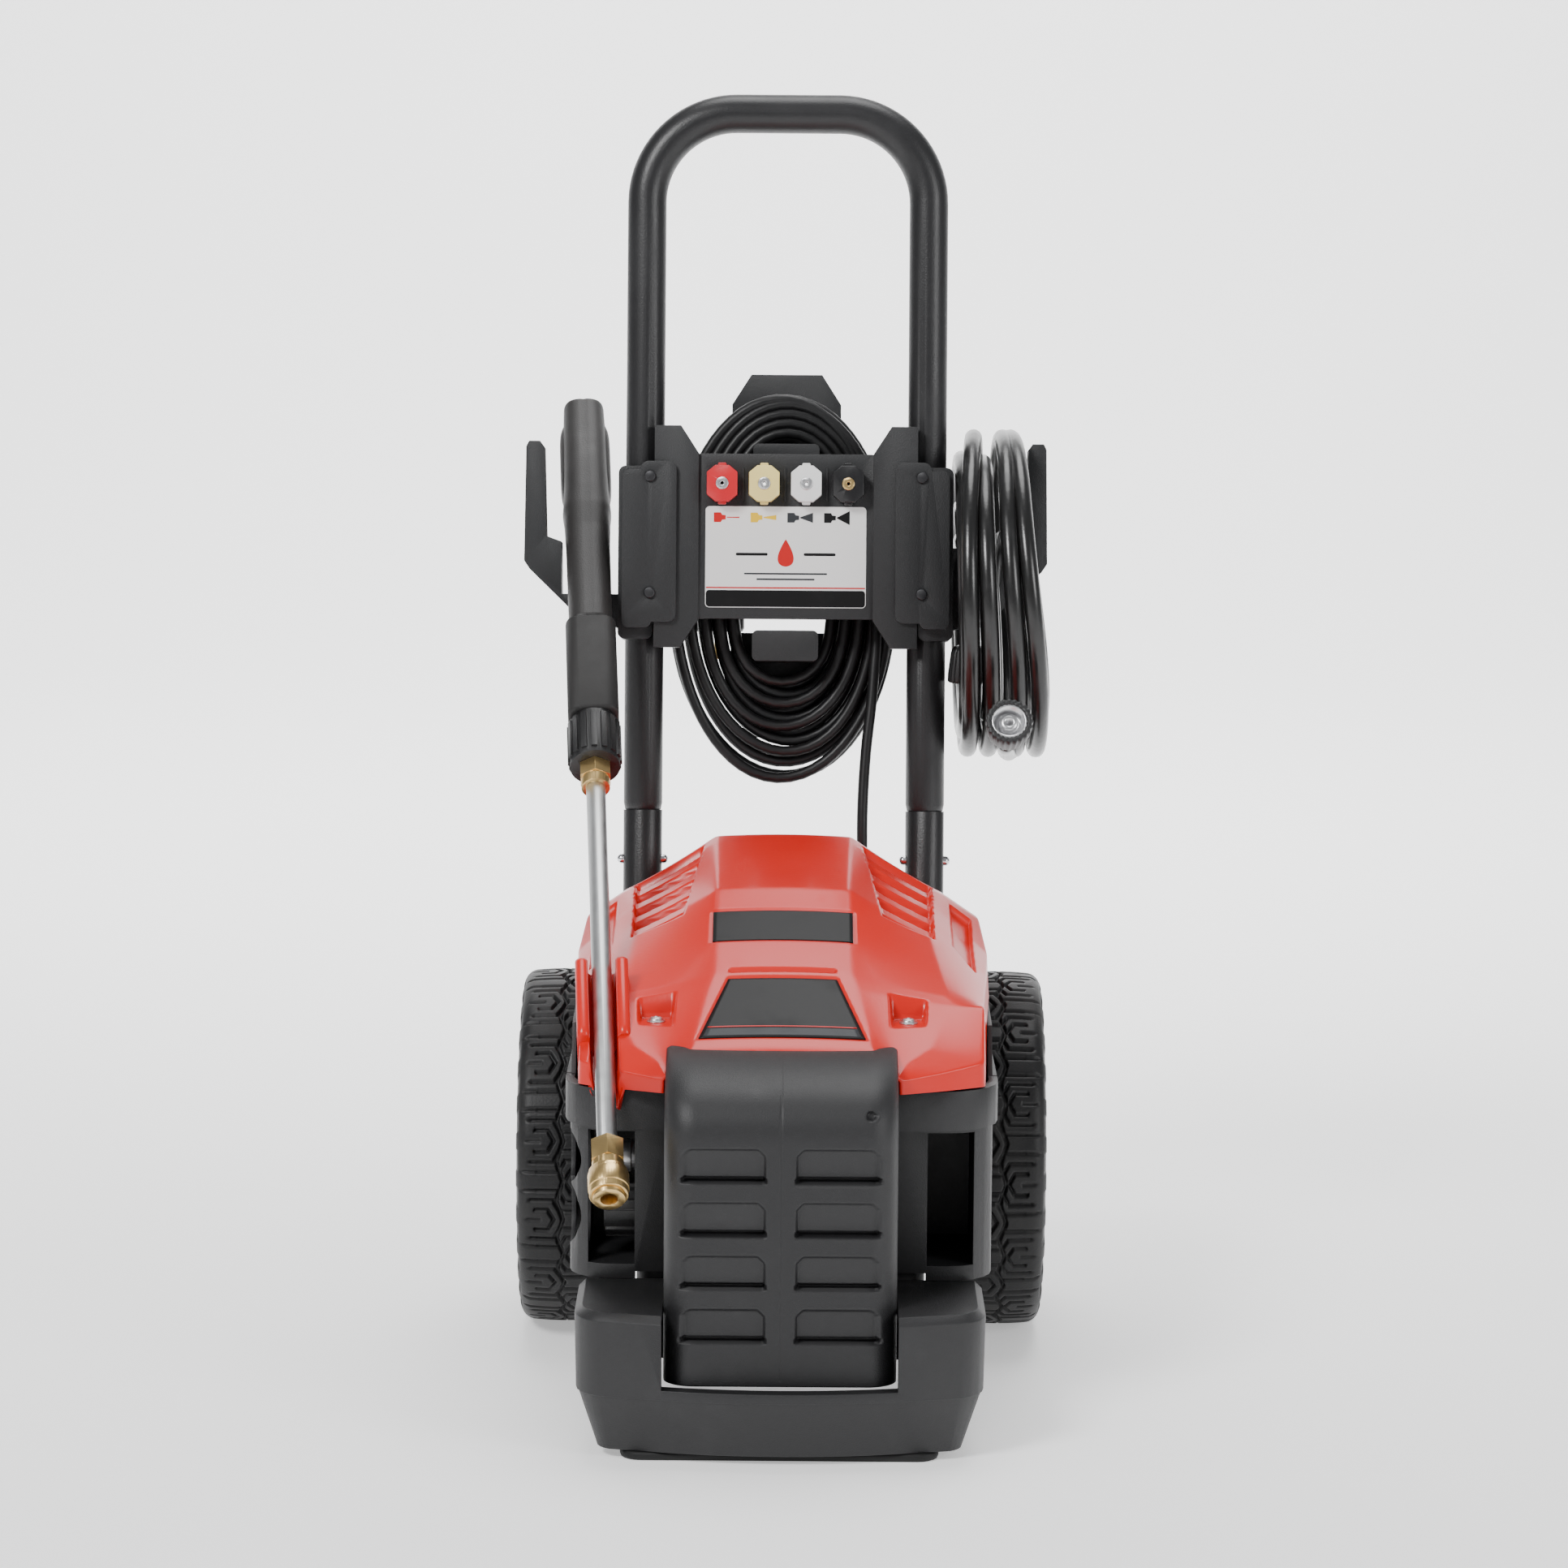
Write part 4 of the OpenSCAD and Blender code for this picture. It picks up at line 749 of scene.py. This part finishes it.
def hood():
    """Sections across the hood at close stations, from one seam over the spine to the other, smoothed so
    that its ridges are softly rounded, then pressed in for the vents, ledges, pockets and the lance.
    Two more sections at the last station drop to the seam and close the back."""
    stations, count = 300, 161
    y = np.linspace(hood_low.y + 0.0005, hood_high.y, stations)[:, None]
    foot_x, foot_z, rim_x, rim_z, brow_x, brow_z, spine_x, spine_z = hood_ridges(y)
    q = np.linspace(-1, 1, 2 * count - 1)[None, :]
    side = np.abs(q)
    stops = [0, 0.27, 0.55, 0.80, 1.0]
    xs = [0 * foot_x, spine_x, brow_x, rim_x, foot_x]
    zs = [spine_z + 0.0015, spine_z, brow_z, rim_z, np.minimum(foot_z, rim_z - 0.003)]
    x, z = np.zeros((stations, q.shape[1])), np.zeros((stations, q.shape[1]))
    for k in range(4):
        share = (side - stops[k]) / (stops[k + 1] - stops[k])
        here = (share >= 0) & (share <= 1)
        x = np.where(here, xs[k] + (xs[k + 1] - xs[k]) * share, x)
        sag = 0.0016 * 4 * share * (1 - share) * (1 if k == 1 else 0)
        z = np.where(here, zs[k] + (zs[k + 1] - zs[k]) * (share if k else share ** 2) - sag, z)
    y = np.repeat(y, q.shape[1], 1)
    for _ in range(5):
        x[:, 1:-1] = (x[:, :-2] + 2 * x[:, 1:-1] + x[:, 2:]) / 4
        z[:, 1:-1] = (z[:, :-2] + 2 * z[:, 1:-1] + z[:, 2:]) / 4
        z[1:-1] = (z[:-2] + 2 * z[1:-1] + z[2:]) / 4
        x[1:-1] = (x[:-2] + 2 * x[1:-1] + x[2:]) / 4
    x = x * np.sign(q)
    a = y - axle_y
    wide = np.abs(x)
    press = np.zeros_like(x)
    press += 0.0014 * smoothstep((0.0495 - wide) / 0.0012) * smoothstep(
        (0.0175 - np.abs(a + 0.199)) / 0.0012)
    badge_half = 0.038 + (-0.254 - a) * 0.36
    badge = smoothstep((badge_half - wide) / 0.0015) * smoothstep((-0.2525 - a) / 0.0012) * smoothstep(
        (a + 0.3085) / 0.0012)
    press += 0.0016 * badge
    press += 0.0022 * smoothstep((0.036 - wide) / 0.001) * near_line(a + 0.2465, 0.0016, 0.001)
    for s in (-1, 1):
        across = s * x
        main = smoothstep((across - (0.0555 + 0.10 * np.clip(-a - 0.045, 0, 1))) / 0.0016) * smoothstep(
            (0.104 - across) / 0.0016) * smoothstep((-a - 0.050) / 0.002) * smoothstep((a + 0.168) / 0.002)
        rib = 0.5 + 0.5 * np.cos((a + 0.050 + 0.10 * (across - 0.08)) * 2 * math.pi / 0.029)
        press += main * (0.0045 + 0.0080 * smoothstep((rib - 0.35) / 0.25))
        outer = smoothstep((across - 0.1165) / 0.0016) * smoothstep((0.1325 - across) / 0.0016) * smoothstep(
            (-a - 0.070) / 0.002) * smoothstep((a + 0.150 + (across - 0.1165) * 1.6) / 0.002)
        press += 0.0055 * outer
        slot = smoothstep((across - 0.060) / 0.0012) * smoothstep((0.118 - across) / 0.0012) * near_line(
            a + 0.026 + (across - 0.060) * 0.06, 0.0048 - 0.03 * (across - 0.060), 0.0012)
        press += 0.0070 * slot
        pocket = smoothstep((0.0125 - np.abs(across - 0.084)) / 0.002) * smoothstep(
            (0.016 - np.abs(a + 0.274)) / 0.002)
        press += pocket * np.clip(z - SCREW_Z, 0, 0.016)
    z = z - press
    gun = (np.stack([x, y, z], axis=2) - GUN_TAIL) @ GUN_TURN
    reach = smoothstep((gun[..., 0] - 0.520) / 0.006) * smoothstep((0.680 - gun[..., 0]) / 0.004)
    trough_half = (LANCE_D + 0.004) / 2
    lane = smoothstep((trough_half + 0.001 - np.abs(gun[..., 1])) / 0.0016)
    drop = np.clip(gun[..., 2] + 0.0105, 0, 0.05) * lane * reach / GUN_TURN[2, 2]
    z = z - np.clip(drop, 0, 0.045)
    x, y = (np.vstack([values, values[-1:], values[-1:]]) for values in (x, y))
    z = np.vstack([z, z[-1:] - 0.001, np.minimum(z[-1:] - 0.002, HOOD_FOOT_Z)])
    return outwards(surface("hood_shell", np.stack([x, y, z], axis=2)), 1e-6)


def gloss_finish(name, colour, rough=0.16):
    """Glossy pigmented plastic: slight orange peel, faint smears and hairline rubs under a clear skin."""
    f = Finish(name, Coat_Roughness=0.12, Specular_IOR_Level=0.35)
    smear = f.noise(9.0, 5.0).above(0.45, 0.75)
    rub = f.noise(55.0, 5.0, along=(1, 0.15, 1)).above(0.62, 0.72)
    f.feed(f.blend(f.noise(5.0), shaded(colour, 0.94), shaded(colour, 1.05)), "Base Color")
    f.feed(smear * 0.08 + rub * 0.10 + rough, "Roughness")
    f.feed(0.15 - smear * 0.08, "Coat Weight")
    return f.raised(f.noise(420.0, 1.0), 0.00005).material


hood_red = gloss_finish("hood_red", (0.66, 0.012, 0.006), 0.30)
hood_piece = hood()
shell = hood_piece.modifiers.new("wall", "SOLIDIFY")
shell.thickness, shell.offset = 0.0026, -1
hood_piece.data.materials.append(hood_red)
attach(hood_piece, "machine")
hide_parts("hood")


def on_gun(points):
    """Places in the gun's own frame: x from its tail to the lance's tip, y across and z towards its spine."""
    return np.asarray(points, float) @ GUN_TURN.T + GUN_TAIL


def lance_rest():
    """A U-shaped outline carried along the lance: two round-topped fins and the trough between them."""
    a = np.linspace(0, math.pi, 17)
    outer, inner, top, bed = 0.0178, 0.0092, 0.0115, -0.0095
    fin = (outer - inner) / 2
    right = np.stack([(outer + inner) / 2 + fin * np.cos(a), top - fin + fin * np.sin(a)], axis=1)
    bowl = np.stack([inner * np.cos(math.pi + a) * -1, bed + 0.004 - 0.004 * np.sin(a)], axis=1)
    left = right[::-1] * [-1, 1]
    outline = np.vstack([[[outer, -0.034]], right, bowl, left, [[-outer, -0.034]]])
    run = np.array([0.5655, 0.5665, 0.5690, 0.6270, 0.6310, 0.6330])
    shrink = np.array([0.0022, 0.0008, 0, 0, 0.0008, 0.0022])
    lowered = outline[None, :, 1] - shrink[:, None] * (outline[None, :, 1] > 0)
    points = np.stack([np.repeat(run[:, None], len(outline), 1), np.repeat(outline[None, :, 0], 6, 0), lowered],
                      axis=2)
    return outwards(surface("lance_rest", on_gun(points), wrap_v=True, caps=True))


rest = lance_rest()
rest.data.materials.append(hood_red)
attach(rest, "machine")
rest_edges = rest.modifiers.new("soft_edges", "BEVEL")
rest_edges.width, rest_edges.segments, rest_edges.angle_limit = 0.0008, 2, math.radians(50)


def film_finish(name, colour, rough=0.3):
    """Printed vinyl film: an even ink under a thin clear layer with slight rubbing."""
    f = Finish(name, Specular_IOR_Level=0.25)
    rub = f.noise(30.0, 4.0).above(0.5, 0.8)
    f.feed(f.blend(rub * 0.3, colour, tuple(c * 0.94 + 0.01 for c in colour)), "Base Color")
    f.feed(rub * 0.1 + rough, "Roughness")
    return f.raised(f.noise(500.0, 1.0), 0.00002).material


def hood_film(name, back_a, front_a, half, lift, finish):
    """A film that follows the spine of the hood between two stations, with a half width for each."""
    a = np.linspace(back_a, front_a, 40)[:, None]
    k = np.linspace(-1, 1, 33)[None, :]
    x = half(a) * k
    spine_x, spine_z = hood_ridges(a + axle_y)[6:]
    z = spine_z + 0.0013 - 0.0014 * (x / spine_x) ** 2 - 0.0016 + lift
    piece = outwards(surface(name, np.stack([x, a + axle_y + 0 * x, z], axis=2)))
    wall = piece.modifiers.new("thickness", "SOLIDIFY")
    wall.thickness, wall.offset = 0.0009, -1
    piece.data.materials.append(finish)
    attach(piece, "machine")
    return piece


ink_black = film_finish("ink_black", (0.004, 0.004, 0.0045), 0.45)
ink_grey = film_finish("ink_grey", (0.035, 0.038, 0.042), 0.45)
ink_red = film_finish("ink_red", (0.55, 0.02, 0.02), 0.3)
ink_white = film_finish("ink_white", (0.80, 0.80, 0.79), 0.35)
ink_yellow = film_finish("ink_yellow", (0.80, 0.52, 0.03), 0.35)


def badge_half(a):
    return 0.0365 + (-0.2545 - a) * 0.36


hood_film("hood_strip", -0.1835, -0.2145, lambda a: 0.0475 + 0 * a, 0.0010, ink_black)
hood_film("hood_badge", -0.2540, -0.3065, badge_half, 0.0010, ink_black)
hood_film("hood_badge_band", -0.2985, -0.3050, lambda a: badge_half(a) - 0.0025, 0.0014, ink_grey)
hood_film("hood_badge_line", -0.2965, -0.2972, lambda a: badge_half(a) - 0.0025, 0.0014, ink_red)
screws = [turned(f"hood_screw_{k}", [
    (-0.004, 0.0003), (-0.004, 0.0022), (0, 0.0022), (0, 0.0062), (0.0007, 0.0062), (0.0008, 0.0047),
    (0.0020, 0.0046), (0.0030, 0.0036), (0.0033, 0.0020), (0.0033, 0.0016), (0.0018, 0.0014), (0.0018, 0.0002)],
    (side * 0.084, axle_y - 0.2715, SCREW_Z), (0, 0, 1), 32) for k, side in enumerate((-1, 1))]
for screw in screws:
    screw.data.materials.append(zinc)
    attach(screw, "machine")
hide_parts("hood_screws")

# ---- Rear cover, switch, motor and pump
# The rear cover carries the cord, the cooling slots and a rocker switch.
# Inside are the induction motor, its capacitor, and the wobble plate pump with a brass head.
cover_plastic = moulded_finish("cover_plastic", (0.012, 0.012, 0.013), 0.45)
softened("rear_cover", 0.002, cover_plastic, steps=3)
softened("power_switch", 0.0008, gloss_finish("switch_red", (0.55, 0.02, 0.015)))
motor_paint = powder_coat("motor_paint", (0.05, 0.05, 0.054), 0.42)
ground_steel = metal_finish("ground_steel", (0.62, 0.62, 0.63), 0.25)
die_cast = metal_finish("die_cast", (0.50, 0.50, 0.51), 0.45, grain=(1, 1, 1), cells=400.0, depth=0.0001)
brass = metal_finish("machined_brass", (0.78, 0.55, 0.24), 0.20, cells=50.0)
softened("motor_housing", 0.0008, motor_paint)
softened("capacitor", 0.0015, moulded_finish("capacitor_case", (0.72, 0.72, 0.70)))
softened("cooling_fan", 0.0006, moulded_finish("fan_plastic", (0.05, 0.05, 0.05)))
for node in ("rotor_shaft", "wobble_plate", "pistons"):
    softened(node, 0.0006, ground_steel)
softened("pump_body", 0.0012, die_cast)
softened("pump_head", 0.0012, brass)
softened("outlet_fitting", 0.0005, ground_steel)
softened("inlet_nut", 0.0008, nut_plastic)

# ---- Accessory panel, hooks, cord arms and nozzles
# A moulded panel bolts across the tubes with a clamp and a hook on each side, and arms behind for the cord.
# Four quick connect nozzles push into its top row; a printed film below shows their spray angles.
panel_plastic = moulded_finish("panel_plastic", (0.013, 0.0135, 0.0145), 0.42)
softened("handle_panel", 0.0014, panel_plastic, steps=3)
for side in ("left", "right"):
    softened(f"hook_{side}", 0.0022, panel_plastic, steps=3)
softened("cord_wraps", 0.0018, panel_plastic, steps=3)
softened("bracket_screws", 0.0008, metal_finish("black_screw", (0.06, 0.06, 0.063), 0.35))

PANEL_W = -0.024


def plate(name, outline, low_w, high_w, finish, place=on_handle, body="machine", edge=0.0):
    """A flat plate in the handle's frame from an outline of (x, t) points, between two depths."""
    outline = np.asarray(outline, float)
    rings = np.stack([place(outline[:, 0], w, outline[:, 1]) for w in (low_w, high_w)])
    piece = outwards(surface(name, rings, wrap_v=True, caps=True, smooth=edge > 0))
    if edge:
        soft = piece.modifiers.new("soft_edges", "BEVEL")
        soft.width, soft.segments, soft.angle_limit = edge, 2, math.radians(50)
        soft.harden_normals = True
    piece.data.materials.append(finish)
    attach(piece, body)
    return piece


def rounded(x0, x1, t0, t1, r, n=6):
    """The outline of a rectangle with round corners."""
    turn = np.linspace(0, math.pi / 2, n + 1)
    corners = ((x1 - r, t1 - r, 0), (x0 + r, t1 - r, 1), (x0 + r, t0 + r, 2), (x1 - r, t0 + r, 3))
    quarter = math.pi / 2
    return np.vstack([np.stack([cx + r * np.cos(turn + q * quarter), ct + r * np.sin(turn + q * quarter)],
                               axis=1) for cx, ct, q in corners])


def label(name, outline, layer, finish):
    """A print on the panel's film: each layer stands a hair further out."""
    out = PANEL_W - 0.0006 - 0.00012 * layer
    return plate(name, outline, out, PANEL_W + 0.0001, finish)


panel_film = label("panel_film", rounded(-0.058, 0.058, 0.515, 0.588, 0.003), 0, ink_white)
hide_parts("labels")
label("panel_band", rounded(-0.0575, 0.0575, 0.5155, 0.5275, 0.0025), 1, ink_black)
label("panel_line", rounded(-0.0575, 0.0575, 0.5288, 0.5298, 0.0004), 1, ink_red)
spray_prints = ((ink_red, 0.0002), (ink_yellow, 0.0016), (ink_grey, 0.0034), (ink_black, 0.0048))
for k, (ink, fan) in enumerate(spray_prints):
    at = -0.043 + 0.0265 * k
    label(f"spray_nozzle_{k}", [(at - 0.009, 0.5765), (at - 0.004, 0.5765), (at - 0.003, 0.5782),
                                (at - 0.0005, 0.5785), (at - 0.0005, 0.5815), (at - 0.003, 0.5818),
                                (at - 0.004, 0.5835), (at - 0.009, 0.5835)], 1, ink)
    label(f"spray_fan_{k}", [(at + 0.0003, 0.5797), (at + 0.0095, 0.5798 - fan), (at + 0.0095, 0.5803 + fan),
                             (at + 0.0003, 0.5804)], 1, ink)
turn = np.linspace(0, 2 * math.pi, 40, endpoint=False)
drop = np.stack([0.0062 * np.sin(turn) * (1 - 0.35 * np.cos(turn)) * np.abs(np.sin(turn / 2)) ** 0.6,
                 0.5545 + 0.0098 * np.cos(turn) * 1.0], axis=1)
label("water_drop", drop, 1, ink_red)
for k, (at, wide) in enumerate(((0.5395, 0.030), (0.5355, 0.021))):
    label(f"grey_rule_{k}", rounded(-wide, wide, at - 0.0006, at + 0.0006, 0.0005, 2), 1, ink_grey)
label("drop_rule_left", rounded(-0.036, -0.013, 0.5525, 0.5545, 0.0008, 2), 1, ink_black)
label("drop_rule_right", rounded(0.013, 0.036, 0.5525, 0.5545, 0.0008, 2), 1, ink_black)


def two_tone(piece, centre, way, radius, behind, finish):
    """Gives the metal's finish to the faces that lie within a radius of an axis, or further along it
    than behind, with every one of their corners."""
    way = np.asarray(way, float) / np.linalg.norm(way)
    corners = np.array([v.co for v in piece.data.vertices]) - np.asarray(centre)
    along = corners @ way
    metal = (np.linalg.norm(corners - along[:, None] * way, axis=1) < radius) | (along > behind)
    piece.data.materials.append(finish)
    for face in piece.data.polygons:
        face.material_index = int(all(metal[k] for k in face.vertices))


back_way = on_handle(0, 1.0, 0) - on_handle(0, 0.0, 0)
nozzle_looks = (("red", (0.60, 0.018, 0.028), steel), ("yellow", (0.86, 0.70, 0.26), steel),
                ("white", (0.84, 0.84, 0.83), steel), ("black", (0.014, 0.014, 0.015), brass))
for k, (colour, ink, tip) in enumerate(nozzle_looks):
    node = f"nozzle_{colour}"
    low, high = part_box(node)
    piece = softened(node, 0.0011, gloss_finish(f"cap_{colour}", ink, 0.28), flat=25.0)
    place = on_handle((low.x + high.x) / 2, PANEL_W, 0.604)
    two_tone(piece, place, back_way, 0.0047, -0.0006, tip)
for k in range(3):
    at = -0.031 + 0.0303 * k
    plate(f"panel_tick_{k}", rounded(at - 0.0008, at + 0.0008, 0.592, 0.616, 0.0006, 2), PANEL_W - 0.001,
          PANEL_W + 0.001, panel_plastic, edge=0.0003)

# ---- Spray gun and lance
# Two moulded housing halves hold the valve, the trigger and its lock; the hand guard closes the front.
# A ribbed collar joins the lance: a plain steel tube with a brass adapter and a brass quick coupler.
gun_plastic = moulded_finish("gun_plastic", (0.017, 0.0155, 0.015), 0.45, cells=1200.0)


def gun_section_loft(name, along, centre, half_y, half_z, square, tilt_axis=None, count=72, groove=0.0):
    """Rounded oblong sections along a line in the gun's frame; square below 1 flattens their sides."""
    turn = np.linspace(0, 2 * math.pi, count, endpoint=False)[None, :]
    y = half_y[:, None] * np.sign(np.cos(turn)) * np.abs(np.cos(turn)) ** square
    z = half_z[:, None] * np.sign(np.sin(turn)) * np.abs(np.sin(turn)) ** square
    if groove:
        z = z - groove * np.exp(-(y / 0.0006) ** 2) * np.sign(z) * (half_z[:, None] > 0.004)
    if tilt_axis is None:
        points = np.stack([np.repeat(along[:, None], count, 1), y, centre[:, None] + z], axis=2)
    else:
        points = np.stack([centre[:, None] + z, y, np.repeat(along[:, None], count, 1)], axis=2)
    return outwards(surface(name, on_gun(points), wrap_v=True, caps=True))


x = np.concatenate([16 - 16 * np.cos(np.linspace(0.06, math.pi / 2, 14)), np.linspace(18, 244, 90),
                    [244.8, 245.0]]) / 1000
top = np.interp(x, [0, 0.016, 0.060, 0.110, 0.128, 0.150, 0.245],
                [0.004, 0.016, 0.0182, 0.0190, 0.0186, 0.0168, 0.0155])
under = np.interp(x, [0, 0.016, 0.060, 0.110, 0.150, 0.245], [0.004, 0.016, 0.0165, 0.0165, 0.0160, 0.0150])
round_end = np.sqrt(np.clip(1 - (1 - np.clip(x / 0.016, 0, 1)) ** 2, 0.02, 1))
wide = np.interp(x, [0, 0.016, 0.050, 0.110, 0.128, 0.134, 0.160, 0.245],
                 [0.0135, 0.0150, 0.0160, 0.0165, 0.0178, 0.0170, 0.0160, 0.0155]) * round_end
top, under = top * np.where(x < 0.016, round_end, 1), under * np.where(x < 0.016, round_end, 1)
lip = np.where(x > 0.2443, 0.9, 1.0)
spine = gun_section_loft("gun_housing", x, (top - under) / 2, wide * lip, (top + under) / 2 * lip, 0.72,
                         groove=0.0005)
z = np.concatenate([np.linspace(-0.004, -0.100, 44), [-0.1035, -0.1055, -0.1062]])
front = np.interp(-z, [0, 0.020, 0.045, 0.090, 0.1035, 0.1062], [0.056, 0.053, 0.0515, 0.0545, 0.053, 0.047])
back = np.interp(-z, [0, 0.040, 0.075, 0.098, 0.1035, 0.1062], [0.003, 0.0095, 0.0115, 0.0140, 0.0165, 0.022])
girth = np.interp(-z, [0, 0.030, 0.080, 0.100, 0.1035, 0.1062],
                  [0.0155, 0.0150, 0.0158, 0.0160, 0.0150, 0.0105])
grip = gun_section_loft("gun_hand_grip", z, (front + back) / 2, girth, (front - back) / 2, 0.7, tilt_axis="z",
                        groove=0.0004)


def guard():
    """The bar of the hand guard: an oblong section carried down its bent line."""
    line = even_route([(0.129, 0, -0.012), (0.121, 0, -0.024), (0.1085, 0, -0.042), (0.0955, 0, -0.068),
                       (0.0835, 0, -0.0885), (0.0735, 0, -0.0975), (0.058, 0, -0.0985),
                       (0.040, 0, -0.0985)], 0.002)
    way = np.gradient(line, axis=0)
    way /= np.linalg.norm(way, axis=1, keepdims=True)
    out = np.cross(way, (0, 1, 0))
    turn = np.linspace(0, 2 * math.pi, 32, endpoint=False)[None, :, None]
    c, s = np.cos(turn), np.sin(turn)
    points = (line[:, None] + out[:, None] * 0.0062 * np.sign(s) * np.abs(s) ** 0.7
              + np.array([0, 1, 0]) * 0.0125 * np.sign(c) * np.abs(c) ** 0.7)
    return outwards(surface("gun_guard", on_gun(points), wrap_v=True, caps=True))


guard_bar = guard()
for piece in (spine, grip, guard_bar):
    piece.data.materials.append(gun_plastic)
    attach(piece, "gun")
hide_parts("gun_shell_left", "gun_shell_right")


def grip_panel(side):
    """A padded side panel on the grip: an oval pillow whose thickness falls to nothing at its edge."""
    r = np.linspace(0, 1, 18)[:, None]
    turn = np.linspace(0, 2 * math.pi, 72, endpoint=False)[None, :]
    px = 0.072 + 0.042 * r * np.sign(np.cos(turn)) * np.abs(np.cos(turn)) ** 0.6
    pz = -0.003 + 0.0115 * r * np.sign(np.sin(turn)) * np.abs(np.sin(turn)) ** 0.6
    py = side * (0.0150 + 0.0036 * (1 - r ** 6) + 0 * px)
    piece = outwards(surface(f"gun_panel_{'right' if side > 0 else 'left'}",
                             on_gun(np.stack([px, py, pz], axis=2)), wrap_v=True))
    piece.data.materials.append(gun_plastic)
    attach(piece, "gun")


for side in (-1, 1):
    grip_panel(side)
softened("gun_valve", 0.0006, brass)
softened("gun_grip", 0.0028, rubber_finish("grip_rubber", (0.013, 0.0122, 0.012), 0.5, 1300.0, 0.0001),
         steps=3)
collar_plastic = moulded_finish("collar_plastic", (0.009, 0.009, 0.0095), 0.38)
softened("gun_collar", 0.001, collar_plastic)
softened("trigger", 0.0014, collar_plastic)
softened("trigger_lock", 0.0007, gloss_finish("lock_red", (0.55, 0.02, 0.015)))
for node, edge in (("lance_adapter", 0.0007), ("coupler_body", 0.0007), ("coupler_sleeve", 0.0007)):
    softened(node, edge, brass)
lance_steel = metal_finish("lance_steel", (0.60, 0.61, 0.61), 0.30, grain=(1, 1, 1), cells=120.0)
softened("lance_tube", 0.0003, lance_steel)
